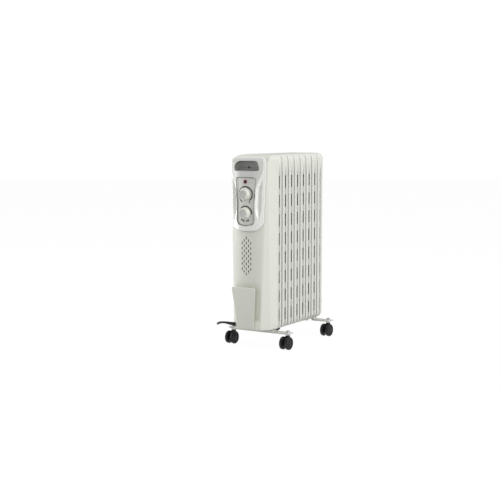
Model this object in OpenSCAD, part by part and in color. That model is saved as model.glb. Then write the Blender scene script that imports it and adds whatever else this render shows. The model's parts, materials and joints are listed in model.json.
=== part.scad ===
// Oil filled radiator heater on castors.
// Millimetres. +Z is up, the controls face -Y, the castor wheels stand on Z = 0, and the origin is
// below the middle of the object's overall box, the mains lead left out.

/* [Fins] */
// Number of fins
fin_count = 8; // [6:1:11]
// Distance from one fin to the next
fin_pitch = 40; // [38:1:41]
// Width of a fin over its folded edges
fin_w = 142; // [140:0.1:171]
// Height of the fins' tops above the floor
fin_top = 630; // [600:1:760]
// Height of the fins' lower edges above the floor
fin_low = 60; // [56:1:75]
// Thickness of the fin's sheet steel
sheet_t = 0.8; // [0.6:0.1:1.2]
// Radius of a fin's corners
corner_r = 20; // [14:1:28]
// Gap between the folded edges of two fins
edge_gap = 3; // [2:0.5:5]
// How far a folded edge bulges outwards
edge_bulge = 3; // [2.5:0.5:3]
// Width of the air slots
slot_w = 6; // [4:0.5:8]
// Length of an air slot
slot_l = 40; // [30:1:48]
// Number of air slots in a column
slot_count = 8; // [5:1:8]

/* [Headers and channels] */
// Outside radius of the headers that join the fins
header_r = 23; // [21:0.1:28]
// Distance of a header's axis from the fins' top or lower edge
header_inset = 45; // [40:1:60]
// Thickness of an oil channel, outside
channel_t = 10; // [7:0.5:14]
// Width of an oil channel at its foot
channel_w = 22; // [16:1:26]
// Distance between the upright oil channels
channel_step = 36; // [30:1:40]

/* [Front housing] */
// Depth of the housing from its rear rim to its crown
housing_d = 78; // [72:0.5:90]
// Thickness of the moulded walls
wall = 2.5; // [2:0.1:3]
// Radius of the housing's crowned front
front_r = 118; // [105:1:150]
// Height of the housing's lower rim above the floor
housing_low = 66; // [64:1:72]
// Radius where the front rolls back into the top
brow_r = 70; // [60:1:76]
// Width of the front between its side bevels, at the foot
foot_face_w = 96; // [90:1:110]

/* [Control panel] */
// Height of the panel's lower edge below the fins' top
panel_drop = 243; // [225:1:250]
// How far the panel stands proud of the housing
panel_proud = 9; // [6:0.5:12]
// Radius of the panel's lower corners
panel_r = 28; // [16:1:34]
// Width of the inset dial plate
dial_w = 62; // [56:1:66]
// Height of the inset dial plate
dial_h = 148; // [140:1:152]
// Height of the thermostat knob's axis below the fins' top
thermostat_drop = 125; // [120:1:128]
// Distance between the two knobs' axes
knob_step = 60.5; // [52:0.5:62]
// Radius of the knobs at their base
knob_r = 18; // [14:0.5:21]
// Radius of the knobs at their face
knob_face_r = 14; // [10:0.5:14]
// Height of the knobs
knob_h = 12; // [8:0.5:18]
// Radius of the indicator lens
lens_r = 6; // [4:0.5:7]
// Width of the grip recess
grip_w = 84; // [76:1:88]
// Height of the grip recess
grip_h = 30; // [26:1:32]
// Depth of the grip recess behind the panel
grip_d = 22; // [16:1:22]

/* [Vent and cord store] */
// Width of a vent slit
slit_w = 3.6; // [2:0.2:4.4]
// Length of a vent slit
slit_l = 9; // [6:0.5:11]
// Sideways distance between the vent's columns
slit_step_x = 8; // [7:0.5:9]
// Height between the slits of one column
slit_step_z = 16.6; // [14:0.2:18]
// Width of the cord store's recess
store_w = 92; // [80:1:96]
// Height of the cord store's ledge above the floor
store_low = 94; // [90:1:100]
// Height of the top of the cord store's recess above the floor
store_high = 222; // [200:1:232]
// Depth of the cord store's recess
store_d = 17; // [10:1:22]
// Width of the cord plate at its top
plate_w_top = 88; // [70:1:88]
// Width of the cord plate at its foot
plate_w_foot = 60; // [50:1:68]
// Height of the cord plate's top above the floor
plate_high = 208; // [180:1:214]
// Forward lean of the cord plate over its height
plate_lean = 15; // [4:1:18]

/* [Feet and castors] */
// Overall length of a foot bracket
bracket_w = 244; // [230:2:260]
// Thickness of the brackets' sheet steel
bracket_t = 2; // [1.5:0.1:3]
// Height of the flange that stiffens a foot bracket
flange_h = 5; // [3:1:12]
// Distance between a bracket's two castor stems
stem_span = 208; // [196:2:216]
// Radius of a castor wheel
wheel_r = 21; // [17:0.1:22]
// Width of one castor wheel
wheel_w = 11; // [8:0.5:13]
// Thickness of the castor body between its wheels
castor_body_w = 10; // [9:0.5:12]
// Distance that the wheels trail behind the castor's stem
trail = 12; // [8:0.5:14]
// Radius of a castor stem
stem_r = 3.5; // [2.5:0.1:3.8]
// Radius of a wheel axle
axle_r = 2.5; // [2:0.1:3]

/* [Mains lead] */
// Diameter of the mains lead
cord_d = 6.5; // [6:0.1:7]
// Radius of the storage coil at the middle of its turns
coil_r = 39; // [36:0.1:47]
// Radius of the plug's body
plug_r = 18.5; // [17:0.5:19]
// Radius of a plug pin
pin_r = 2.4; // [2:0.1:2.5]
// Length of a plug pin
pin_l = 19; // [17:0.5:19]

/* [Hidden] */
$fn = 64;
run_gap = 0.05;      // radial clearance of a running fit
seat_gap = 0.3;      // gap between pieces that seat on each other
nut_gap = 0.05;      // radial clearance inside a nut

off_white = "#e9eae5";
panel_grey = "#d3d4cf";
dark_grey = "#3b3b3b";
charcoal = "#2c2c2d";
steel = "#b9bbbc";

// Along Y, 0 is the first fin's plane until place() moves everything to the final frame.
front_edge_l = 10.5;                          // first fin's front fold, cut short for the housing
edge_l = fin_pitch / 2 - edge_gap / 2;        // a fin's other folds
last_y = (fin_count - 1) * fin_pitch;
rim_y = -front_edge_l - 1.5;                  // housing's rear rim
crown_y = rim_y - housing_d;                  // housing's foremost line
panel_y = crown_y - panel_proud;
knob_face_y = panel_y - knob_h;
front_y = min(knob_face_y, crown_y - plate_lean - 6);
back_y = last_y + edge_l;
first_y = -(front_y + back_y) / 2;            // first fin's plane in the final frame
module place() translate([0, first_y, 0]) children();

// Fins
half_w = fin_w / 2;
fold_x = half_w - edge_bulge;                 // where the folded edges spring from the web
low_z = fin_low + header_inset;
high_z = fin_top - header_inset;
bore_r = header_r - 2;
slot_run = fin_top - fin_low - 97;            // column of slots, first end to last end
slot_step = (slot_run - slot_l) / (slot_count - 1);
slot_mid_z = (fin_top + fin_low) / 2 - 20;

// Housing and panel
housing_top = fin_top - 1;
housing_half = half_w;
housing_corner = 18;
bevel_y = rim_y - 41;                         // crease between the flank and the side bevel
top_face_w = fin_w - 8;
panel_top = housing_top - 4;
panel_low = fin_top - panel_drop;
dial_mid_z = fin_top - 146;
thermostat_z = fin_top - thermostat_drop;
selector_z = thermostat_z - knob_step;
lamp_z = thermostat_z + 40;
grip_z = fin_top - 35;
back_plate_t = 1.5;
back_plate_y = rim_y - 2;                     // rear face of the plate that closes the housing
plate_front_y = back_plate_y - back_plate_t;
post_r = 4.5;
screw_r = 1.7;

// Feet
bolt_y = fin_pitch / 2;                       // U-bolt between the first two fins
stem_y = bolt_y - 21;
arm_half = 14;
arm_z = fin_low - 6;                          // top of the bracket's arms
rod_r = 2.5;
bolt_ring_r = header_r + seat_gap + rod_r;
nut_h = 6;
axle_z = wheel_r;
castor_top = 2 * wheel_r + 3;
wheel_gap = 0.5;
fin_names = [for (i = [1:fin_count]) str("fin_", i)];
castors = [["castor_front_left", -1, 0], ["castor_front_right", 1, 0],
           ["castor_rear_left", -1, 1], ["castor_rear_right", 1, 1]];
castor_parts = ["stem", "body", "axle", "wheels"];

// ---------------------------------------------------------------- shared shapes

// Rectangle about x = 0 from y = low to y = high with its own lower and upper corner radii.
module slab_outline(half, low, high, r_low, r_high) {
    translate([-half, low + r_low]) square([2 * half, high - low - r_low - r_high]);
    translate([-half + r_low, low]) square([2 * (half - r_low), r_low + 0.01]);
    translate([-half + r_high, high - r_high - 0.01]) square([2 * (half - r_high), r_high + 0.01]);
    for (s = [-1, 1]) {
        translate([s * (half - r_low), low + r_low]) circle(r_low);
        translate([s * (half - r_high), high - r_high]) circle(r_high);
    }
}

// Turns an XZ outline into a slab from y0 to y1.
module along_y(y0, y1) translate([0, y1, 0]) rotate([90, 0, 0]) linear_extrude(y1 - y0) children();

// Turns a YZ outline into a slab from x0 to x1.
module along_x(x0, x1) translate([x0, 0, 0]) rotate([90, 0, 90]) linear_extrude(x1 - x0) children();

// A round bar along Y.
module rod_y(r, y0, y1) translate([0, y1, 0]) rotate([90, 0, 0]) cylinder(r = r, h = y1 - y0);

// ---------------------------------------------------------------- fins

// One folded edge in section: x outwards from x0, y along the fin's thickness from 0 to len.
module fold(x0, len) {
    r = (len * len / 4 + edge_bulge * edge_bulge) / (2 * edge_bulge);
    intersection() {
        difference() {
            translate([x0 + edge_bulge - r, len / 2]) circle(r);
            translate([x0 + edge_bulge - r, len / 2]) circle(r - sheet_t);
        }
        translate([x0 - 2, 0]) square([edge_bulge + 3, len]);
    }
}

module fold_pair(x0, front, back) {
    fold(x0, back);
    mirror([0, 1]) fold(x0, front);
}

module fin_edge(front, back) {
    zs = [fin_low + corner_r, fin_top - corner_r];
    for (s = [0, 1]) mirror([s, 0, 0]) {
        translate([0, 0, zs[0]]) linear_extrude(zs[1] - zs[0]) fold_pair(fold_x, front, back);
        translate([half_w - corner_r, 0, zs[1]]) rotate([90, 0, 0])
            rotate_extrude(angle = 90) fold_pair(corner_r - edge_bulge, back, front);
        translate([half_w - corner_r, 0, zs[0]]) rotate([90, 0, 0])
            rotate_extrude(angle = -90) fold_pair(corner_r - edge_bulge, back, front);
    }
    translate([0, 0, zs[1]]) rotate([0, -90, 0])
        linear_extrude(2 * (half_w - corner_r), center = true)
            fold_pair(corner_r - edge_bulge, front, back);
}

// Pressed channel in section, x across and y through the fin.
module channel_section(w, t) {
    polygon([[-w / 2, 0], [-w / 2 + 4, t / 2], [w / 2 - 4, t / 2],
             [w / 2, 0], [w / 2 - 4, -t / 2], [-w / 2 + 4, -t / 2]]);
}

module channels(cut) {
    w = channel_w - 2 * cut;
    t = channel_t - 2 * cut;
    for (i = [-1:1]) translate([i * channel_step, 0, low_z])
        linear_extrude(high_z - low_z) channel_section(w, t);
    for (z = [low_z, high_z]) translate([0, 0, z]) rotate([0, 90, 0])
        linear_extrude(2 * channel_step + w, center = true) channel_section(w + 4, t - 1);
}

module fin(i) {
    first = i == 1;
    last = i == fin_count;
    front = first ? front_edge_l : edge_l;
    boss_front = first ? -8 : -fin_pitch / 2;
    boss_back = last ? 12 : fin_pitch / 2;
    slot_y = last ? -slot_w / 2 : 0;    // the last fin's slots open to the space in front of it
    color(off_white) translate([0, (i - 1) * fin_pitch, 0]) difference() {
        union() {
            along_y(-sheet_t, sheet_t)
                slab_outline(fold_x, fin_low, fin_top - edge_bulge, corner_r - edge_bulge,
                             corner_r - edge_bulge);
            fin_edge(front, edge_l);
            channels(0);
            for (z = [low_z, high_z]) translate([0, 0, z]) rod_y(header_r, boss_front, boss_back);
            if (first) for (p = mount_posts) translate([p[0], 0, p[1]])
                rod_y(post_r, back_plate_y, 0);
        }
        channels(sheet_t);
        for (z = [low_z, high_z]) translate([0, 0, z])
            rod_y(bore_r, first && z == high_z ? boss_front + 3 : boss_front - 1,
                  last ? boss_back - 2 : boss_back + 1);
        if (first) {
            translate([0, 0, high_z]) rod_y(oil_plug_r + nut_gap, boss_front - 1, 0);
            for (p = mount_posts) translate([p[0], 0, p[1]])
                rod_y(screw_r, back_plate_y - 1, back_plate_y + 9);
        }
        for (k = [0:slot_count - 1], s = [-1, 1])
            translate([s * half_w, slot_y, slot_mid_z - slot_run / 2 + slot_l / 2 + k * slot_step])
                cube([24, slot_w, slot_l], center = true);
    }
}
mount_posts = [[-52, fin_low + 100], [52, fin_low + 100], [-52, fin_top - 100], [52, fin_top - 100]];
oil_plug_r = 8;

// ---------------------------------------------------------------- heating parts in the headers

rod_step = 8;        // half the distance between the legs of a heating rod
heater_r = 4.2;

module heating_element() color(steel) for (s = [-1, 1]) translate([s * rod_step, 0, low_z]) {
    bend_y = last_y - 20;
    for (t = [-1, 1]) translate([0, 0, t * rod_step]) {
        rod_y(heater_r, -14.5, bend_y);
        rod_y(1.5, -26, -14.5);
    }
    translate([0, bend_y, 0]) rotate([90, 0, 90])
        rotate([0, 0, -90]) rotate_extrude(angle = 180) translate([rod_step, 0]) circle(heater_r);
}

module element_flange() color(steel) translate([0, 0, low_z]) difference() {
    union() {
        translate([0, -8.5, 0]) rotate([90, 0, 0]) cylinder(r = header_r + 5, h = 6, $fn = 6);
        rod_y(bore_r - nut_gap, -8.5, -2);
    }
    for (s = [-1, 1], t = [-1, 1]) translate([s * rod_step, 0, t * rod_step]) rod_y(heater_r, -15, 0);
}

module flange_gasket() color(dark_grey) translate([0, 0, low_z]) difference() {
    rod_y(header_r, -8.5, -8);
    rod_y(bore_r + 0.1, -9, -7);
}

module oil_plug() color(steel) translate([0, 0, high_z]) {
    translate([0, -8, 0]) rotate([90, 0, 0]) cylinder(r = oil_plug_r + 4, h = 5, $fn = 6);
    rod_y(oil_plug_r, -8, -2);
}

// ---------------------------------------------------------------- front housing

function face_y(x) = crown_y + front_r - sqrt(front_r * front_r - x * x);

foot_half = foot_face_w / 2;
bevel_turn = atan2(housing_half - foot_half, bevel_y - face_y(foot_half));
bevel_gap = (bevel_y - face_y(foot_half)) * (top_face_w / 2 - housing_half)
          - (housing_half - foot_half) * (face_y(top_face_w / 2) - bevel_y);
bevel_run = norm([bevel_y - face_y(foot_half), housing_half - foot_half]);
bevel_tilt = atan2(bevel_gap / bevel_run, housing_top - housing_low - 30);

// Solid inside the housing's outer surface, drawn in by d, from the front back to y_back.
module housing_solid(d, y_back) {
    h = housing_half - d;
    difference() {
        intersection() {
            translate([0, 0, housing_low - 2]) linear_extrude(housing_top - housing_low + 4)
                intersection() {
                    translate([0, crown_y + front_r]) circle(front_r - d, $fn = 160);
                    translate([-h, crown_y - 2]) square([2 * h, y_back - crown_y + 2]);
                }
            along_y(crown_y - 1, y_back + 1)
                slab_outline(h, housing_low + d, housing_top - d, 6 - d, housing_corner - d);
            along_x(-h - 1, h + 1) {
                translate([crown_y + brow_r, housing_top - brow_r]) circle(brow_r - d, $fn = 120);
                translate([crown_y + d, housing_low - 1])
                    square([brow_r, housing_top - brow_r - housing_low + 1]);
                translate([crown_y + brow_r, housing_low - 1])
                    square([y_back - crown_y - brow_r + 1, housing_top - housing_low + 1 - d]);
            }
        }
        for (s = [0, 1]) mirror([s, 0, 0])
            translate([housing_half, bevel_y, housing_low]) rotate([0, 0, -bevel_turn])
                rotate([0, bevel_tilt, 0]) translate([-d, -150, -50]) cube([80, 300, 800]);
    }
}

function edge_half(z) = foot_half + (top_face_w / 2 - foot_half) * (z - housing_low)
                      / (housing_top - housing_low - 30);

// Solid inside the panel's outer surface, grown by g, from the front back to y_back.
module bezel_solid(g, y_back) {
    low = panel_low - g;
    high = panel_top + g;
    half = edge_half(panel_top) - 1.5;
    intersection() {
        translate([0, 0, low - 1]) linear_extrude(high - low + 2) intersection() {
            translate([0, crown_y + front_r]) circle(front_r + panel_proud + g, $fn = 160);
            translate([-housing_half, panel_y - 2]) square([2 * housing_half, y_back - panel_y + 2]);
        }
        along_y(panel_y - 2, y_back + 1) intersection() {
            slab_outline(half + g, low, high, panel_r + g, housing_corner + g);
            polygon([for (p = [[-1, low], [1, low], [1, high], [-1, high]])
                     [p[0] * (edge_half(p[1]) - 1.5 + g), p[1]]]);
        }
        along_x(-housing_half, housing_half) {
            translate([crown_y + brow_r, housing_top - brow_r])
                circle(brow_r + panel_proud + g, $fn = 120);
            translate([panel_y - g, low - 1])
                square([brow_r + panel_proud + g, housing_top - brow_r - low + 1]);
        }
    }
}

bezel_back_y = crown_y + 24;
store_y = crown_y + store_d;
vent_mid_z = (panel_low + store_high) / 2 + 2;
shell_posts = [[-57, housing_low + 44], [57, housing_low + 44], [-59, panel_low - 25],
               [59, panel_low - 25]];
bezel_posts = [[-50, panel_low + 43], [50, panel_low + 43], [-53, fin_top - 70],
               [53, fin_top - 70]];
exit_x = -foot_half - 2;
exit_z = 79;
exit_y = face_y(foot_half) + 2 * (bevel_y - face_y(foot_half)) / (housing_half - foot_half);

// The lead's way out: +X runs outwards along the strain relief.
module at_exit() translate([exit_x, exit_y, exit_z]) rotate([0, 0, 180 + 37]) rotate([0, -10, 0]) children();
module exit_rod(r0, r1, x0, x1) at_exit() translate([x0, 0, 0]) rotate([0, 90, 0])
    cylinder(r1 = r0, r2 = r1, h = x1 - x0);

module pilot_holes(posts) for (p = posts) translate([p[0], 0, p[1]])
    rod_y(screw_r, plate_front_y - 14, plate_front_y + 1);

module housing_shell() color(off_white) difference() {
    union() {
        difference() {
            housing_solid(0, rim_y);
            housing_solid(wall, rim_y + 1);
            along_y(crown_y - 1, store_y)
                slab_outline(store_w / 2, store_low, store_high, 6, 22);
        }
        intersection() {
            housing_solid(0, rim_y);
            difference() {
                along_y(crown_y - 1, store_y + 2)
                    slab_outline(store_w / 2 + 2, store_low - 2, store_high + 2, 8, 24);
                along_y(crown_y - 2, store_y)
                    slab_outline(store_w / 2, store_low, store_high, 6, 22);
            }
        }
        intersection() {
            housing_solid(0, plate_front_y);
            for (p = shell_posts) translate([p[0], 0, p[1]]) rod_y(post_r, crown_y, plate_front_y);
        }
    }
    bezel_solid(seat_gap, bezel_back_y + seat_gap);
    for (c = [-2:2], j = [0:7 - abs(c)])
        translate([c * slit_step_x, crown_y + 3, vent_mid_z + (j - (7 - abs(c)) / 2) * slit_step_z])
            cube([slit_w, 12, slit_l], center = true);
    pilot_holes(shell_posts);
    exit_rod(5.3, 5.3, -9, 9);
    exit_rod(7.8, 7.8, -0.5, 9);
}

module back_plate() color(steel) difference() {
    along_y(plate_front_y, back_plate_y)
        slab_outline(housing_half - wall - 0.5, housing_low + wall + 0.5, housing_top - wall - 0.5, 4, 15);
    translate([0, 0, low_z]) rod_y(header_r + 7, plate_front_y - 1, back_plate_y + 1);
    translate([0, 0, high_z]) rod_y(oil_plug_r + 8, plate_front_y - 1, back_plate_y + 1);
    for (p = concat(mount_posts, shell_posts, bezel_posts)) translate([p[0], 0, p[1]])
        rod_y(screw_r + 0.1, plate_front_y - 1, back_plate_y + 1);
}

module housing_screws() color(steel) {
    for (p = mount_posts) translate([p[0], 0, p[1]]) {
        rod_y(screw_r + 2, plate_front_y - 2, plate_front_y);
        rod_y(screw_r - 0.1, plate_front_y, back_plate_y + 7);
    }
    for (p = concat(shell_posts, bezel_posts)) translate([p[0], 0, p[1]]) {
        rod_y(screw_r + 2, back_plate_y, back_plate_y + 1.5);
        rod_y(screw_r - 0.1, plate_front_y - 10, back_plate_y);
    }
}

// ---------------------------------------------------------------- control panel

grip_r = 14;
grip_face_y = crown_y + brow_r
            - sqrt((brow_r + panel_proud) ^ 2 - (grip_z - (housing_top - brow_r)) ^ 2);
grip_floor_y = grip_face_y + grip_d;

module grip_outline(g) slab_outline(grip_w / 2 + g, grip_z - grip_h / 2 - g,
                                    grip_z + grip_h / 2 + g, 9 + g, grip_r + g);
module dial_outline(g) slab_outline(dial_w / 2 + g, dial_mid_z - dial_h / 2 - g,
                                    dial_mid_z + dial_h / 2 + g, 9 + g, 7 + g);

module control_bezel() color(off_white) difference() {
    union() {
        difference() {
            bezel_solid(0, bezel_back_y);
            bezel_solid(-wall, bezel_back_y + 1);
        }
        intersection() {
            bezel_solid(0, plate_front_y);
            for (p = bezel_posts) translate([p[0], 0, p[1]]) rod_y(post_r, panel_y, plate_front_y);
        }
    }
    along_y(panel_y - 1, bezel_back_y) dial_outline(0);
    along_y(panel_y - 1, bezel_back_y) grip_outline(0);
    pilot_holes(bezel_posts);
}

// A curved skin behind the panel's outer surface, from depth a to depth b.
module panel_skin(a, b) translate([0, crown_y + front_r, dial_mid_z - dial_h]) intersection() {
    difference() {
        cylinder(r = front_r + panel_proud - a, h = 2 * dial_h, $fn = 160);
        translate([0, 0, -1]) cylinder(r = front_r + panel_proud - b, h = 2 * dial_h + 2, $fn = 160);
    }
    translate([-dial_w, -front_r - 40, -1]) cube([2 * dial_w, 80, 2 * dial_h + 2]);
}

inset = 1.2;                             // depth of the dial plate below the panel's surface
dial_rear = wall + seat_gap + 2;         // depth of the dial plate's rear face
dial_rear_y = panel_y + dial_rear;       // the same at the crown
control_y = dial_rear_y + 1.5 + seat_gap; // front face of the controls' flat cases
bush_r = 5;
shaft_r = 3;

module dial_plate() color(panel_grey) difference() {
    union() {
        intersection() {
            panel_skin(inset, dial_rear);
            along_y(panel_y - 1, 0) dial_outline(-seat_gap);
        }
        intersection() {
            panel_skin(wall + seat_gap, dial_rear);
            along_y(panel_y - 1, 0) dial_outline(2.5);
        }
    }
    for (z = [thermostat_z, selector_z]) translate([0, 0, z]) rod_y(bush_r + 0.2, panel_y - 1, 0);
    translate([0, 0, lamp_z]) rod_y(lens_r + 0.2, panel_y - 1, 0);
}

module grip_liner() color("#8d8e8b") difference() {
    intersection() {
        along_y(panel_y, grip_floor_y + 2) grip_outline(2);
        bezel_solid(-wall - seat_gap, 0);
    }
    along_y(panel_y - 1, grip_floor_y) grip_outline(0);
    translate([2, 0, grip_z - 6]) rod_y(2.2, grip_floor_y - 1, grip_floor_y + 3);
}

module indicator_lens() color("#8e1d22") translate([0, 0, lamp_z]) {
    rod_y(lens_r, panel_y + 0.6, dial_rear_y + seat_gap);
    rod_y(lens_r + 1.5, dial_rear_y + seat_gap, dial_rear_y + 2);
    intersection() {
        translate([0, panel_y + 9, 0]) sphere(r = 10);
        rod_y(lens_r, panel_y - 1, panel_y + 0.7);
    }
}

module indicator_lamp() color("#e8c9a0") translate([0, 0, lamp_z]) {
    rod_y(lens_r + 1, dial_rear_y + 2 + seat_gap, dial_rear_y + 6);
    rod_y(3, dial_rear_y + 6, dial_rear_y + 20);
}

module knob(z) translate([0, 0, z]) {
    base_y = panel_y + 0.5;
    face_y = panel_y - knob_h;
    difference() {
        union() {
            translate([0, base_y, 0]) rotate([90, 0, 0])
                cylinder(r1 = knob_r, r2 = knob_face_r + 1.5, h = base_y - face_y - 1.5);
            translate([0, face_y + 1.5, 0]) rotate([90, 0, 0])
                cylinder(r1 = knob_face_r + 1.5, r2 = knob_face_r, h = 1.5);
        }
        rod_y(10, base_y - 5, base_y + 1);
        rod_y(shaft_r, base_y - 9, base_y + 1);
    }
}

module control_shaft(z) translate([0, 0, z]) rod_y(shaft_r, panel_y - 8, control_y + 12);

module control_case(z, half_x, half_z, depth) translate([0, 0, z]) difference() {
    union() {
        translate([-half_x, control_y, -half_z]) cube([2 * half_x, depth, 2 * half_z]);
        rod_y(bush_r, panel_y - 1.4, control_y + 1);
        translate([0, panel_y + inset - seat_gap, 0]) rotate([90, 0, 0])
            cylinder(r = 7.5, h = 2.2, $fn = 6);
    }
    rod_y(shaft_r + run_gap, panel_y - 3, control_y + 12.3);
}

module thermostat_knob() color("#e4e3dc") knob(thermostat_z);
module thermostat_shaft() color(steel) control_shaft(thermostat_z);
module thermostat_body() color("#d9cfb8") control_case(thermostat_z, 17, 14, 26);
module selector_knob() color("#e4e3dc") knob(selector_z);
module selector_shaft() color(steel) control_shaft(selector_z);
module selector_switch() color(dark_grey) control_case(selector_z, 16, 13, 20);

// ---------------------------------------------------------------- parts on the back plate

block_x = 34;
block_z = 250;
module terminal_block() color("#d8d8d2") translate([block_x, plate_front_y, block_z]) difference() {
    translate([-22, -18, -11]) cube([44, 18, 22]);
    for (i = [-1:1]) translate([i * 14, 0, 0]) {
        translate([0, -9, -12]) cylinder(r = 2.4, h = 24);
        rod_y(2.8, -19, -9);
    }
}

cutout_z = fin_top - 96;
module thermal_cutout() color("#c9c2b0") translate([0, 0, cutout_z]) {
    rod_y(9, plate_front_y - 9, plate_front_y);
    for (s = [-1, 1]) translate([s * 5 - 1.5, plate_front_y - 16, -3]) cube([3, 8, 6]);
}

tip_x = -36;
tip_z = 292;
module tip_switch_case() color("#d8d8d2") translate([tip_x, plate_front_y, tip_z]) {
    difference() {
        translate([-22, -22, -56]) cube([44, 22, 64]);
        translate([-20, -23, -54]) cube([40, 21, 60]);
    }
    translate([-8, -16, -54]) cube([16, 14, 12]);
    rod_y(1.5, -18, -2);
}

module tip_switch_pendulum() color(steel) translate([tip_x, plate_front_y, tip_z]) difference() {
    union() {
        rod_y(4, -14, -7);
        translate([0, 0, -26]) rod_y(6, -16, -5);
        translate([-2, -13, -26]) cube([4, 5, 26]);
    }
    rod_y(1.5 + run_gap, -17, -4);
}

// Tube of radius r along points, with flat ends; up is any way that the tube never points.
function unit(v) = v / norm(v);
function along(p, i) = unit(p[min(i + 1, len(p) - 1)] - p[max(i - 1, 0)]);
function ring(p, i, r, sides, up) = let (t = along(p, i), a = unit(cross(t, up)), b = cross(t, a))
    [for (k = [0:sides - 1]) p[i] + r * (cos(k * 360 / sides) * a + sin(k * 360 / sides) * b)];
module tube(p, r, sides, up) {
    n = len(p);
    polyhedron(
        points = [for (i = [0:n - 1]) each ring(p, i, r, sides, up)],
        faces = concat(
            [[for (k = [0:sides - 1]) k]],
            [for (i = [0:n - 2], k = [0:sides - 1])
                let (m = (k + 1) % sides)
                [i * sides + k, (i + 1) * sides + k, (i + 1) * sides + m, i * sides + m]],
            [[for (k = [sides - 1:-1:0]) (n - 1) * sides + k]]));
}

wire_r = 1.2;
block_top = block_z + 11 + seat_gap;
control_rear = control_y + 26 + seat_gap;
case_rear = control_y + 20 + seat_gap;
cutout_face = plate_front_y - 16 - seat_gap;
wires = [
    // terminal block to selector switch
    [[block_x - 14, -24.5, block_top], [18, -26, block_z + 40], [14, -34, block_z + 90],
     [8, -48, selector_z - 54], [2, case_rear + 20, selector_z - 24],
     [0, case_rear + 12, selector_z - 7], [0, case_rear, selector_z - 4]],
    // terminal block to thermostat
    [[block_x, -24.5, block_top], [36, -25, block_z + 50], [34, -28, block_z + 130],
     [26, -36, selector_z + 5], [14, -48, thermostat_z - 17], [8, control_rear + 10, thermostat_z - 6],
     [8, control_rear, thermostat_z - 4]],
    // selector switch to thermostat
    [[-8, case_rear, selector_z + 3], [-9, case_rear + 10, selector_z + 8],
     [-10, case_rear + 16, selector_z + 26], [-10, case_rear + 16, thermostat_z - 17],
     [-9, case_rear + 12, thermostat_z - 7], [-8, control_rear, thermostat_z - 4]],
    // thermostat to thermal cut-out
    [[-3, control_rear, thermostat_z + 5], [-4, control_rear + 8, thermostat_z + 9],
     [-5, -46, thermostat_z + 19], [-5, -38, cutout_z - 2], [-5, cutout_face, cutout_z]],
    // thermal cut-out to heating element
    [[5, cutout_face, cutout_z], [8, -38, cutout_z - 4], [20, -36, cutout_z - 34],
     [27, -30, cutout_z - 94], [29, -22, block_z + 130], [6, -21, block_z + 80],
     [3, -22, block_z - 10], [6, -24, low_z + 55], [rod_step, -29, low_z + 23],
     [rod_step, -30, low_z + 13], [rod_step, -27.5, low_z + rod_step]]];
module internal_wiring() color("#3a4f8a") for (w = wires) tube(w, wire_r, 8, [1, 0, 0.02]);

// ---------------------------------------------------------------- cord store

plate_t = 3;
plate_low = housing_low + 5;
plate_foot_y = crown_y - 1.5;
plate_angle = atan2(plate_lean, plate_high - plate_low);

module plate_outline() {
    h = plate_high - plate_low;
    hull() {
        translate([-plate_w_foot / 2 + 3, 3]) circle(3, $fn = 32);
        translate([plate_w_foot / 2 - 3, 3]) circle(3, $fn = 32);
        translate([-plate_w_top / 2 + 6, h - 6]) circle(6, $fn = 32);
        translate([plate_w_top / 2 - 6, h - 6]) circle(6, $fn = 32);
    }
}

module cord_plate() color(off_white) difference() {
    union() {
        translate([0, plate_foot_y, plate_low]) rotate([plate_angle, 0, 0])
            along_y(-plate_t, 0) plate_outline();
        for (s = [-1, 1]) translate([s * 18, 0, housing_low + 18])
            rod_y(7, plate_foot_y - 2, crown_y + 8);
    }
    housing_solid(-seat_gap, rim_y);
}

module strain_relief() color(charcoal) {
    exit_rod(7.2, 7.2, -8, -5.6);
    exit_rod(5, 5, -5.6, 0);
    exit_rod(7.2, 6.4, -0.2, 2.2);
    exit_rod(6.4, 4.2, 2.2, relief_l);
}
relief_l = 26;

// ---------------------------------------------------------------- feet

step_in = 46;                            // half width of a bracket's raised seat
step_out = 54;
module bracket_side(low) polygon([
    [-bracket_w / 2, low], [bracket_w / 2, low],
    [bracket_w / 2, arm_z], [step_out, arm_z], [step_in, fin_low],
    [-step_in, fin_low], [-step_out, arm_z], [-bracket_w / 2, arm_z]]);

module foot_bracket() difference() {
    union() {
        intersection() {
            difference() {
                along_y(-30, 60) bracket_side(0);
                translate([0, 0, -bracket_t]) along_y(-31, 61) bracket_side(-1);
            }
            union() {
                translate([-bracket_w / 2 + arm_half, stem_y - arm_half, 0])
                    cube([bracket_w - 2 * arm_half, 2 * arm_half, fin_low + 1]);
                for (s = [-1, 1]) translate([s * (bracket_w / 2 - arm_half), stem_y, 0])
                    cylinder(r = arm_half, h = fin_low + 1);
                translate([-step_in + 4, stem_y, 0]) cube([2 * step_in - 8, bolt_y + 12 - stem_y, fin_low + 1]);
            }
        }
        along_y(stem_y - arm_half, stem_y - arm_half + bracket_t) intersection() {
            bracket_side(arm_z - flange_h);
            translate([-bracket_w / 2 + arm_half, 0]) square([bracket_w - 2 * arm_half, fin_low]);
        }
        for (s = [-1, 1]) along_y(stem_y + arm_half - bracket_t, stem_y + arm_half) intersection() {
            bracket_side(arm_z - flange_h);
            translate([s * (bracket_w / 2 - arm_half + step_in) / 2, fin_low / 2])
                square([bracket_w / 2 - arm_half - step_in, fin_low], center = true);
        }
    }
    for (s = [-1, 1]) {
        translate([s * stem_span / 2, stem_y, 0]) cylinder(r = stem_r + 0.1, h = fin_low);
        translate([s * bolt_ring_r, bolt_y, 0]) cylinder(r = rod_r + 0.3, h = fin_low + 1);
    }
}

// Puts a front foot's piece at a foot: e is 0 in front and 1, turned round, at the rear.
module at_foot(e) translate([0, e * last_y, 0]) mirror([0, e, 0]) children();
module front_bracket() color(off_white) at_foot(0) foot_bracket();
module rear_bracket() color(off_white) at_foot(1) foot_bracket();

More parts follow.
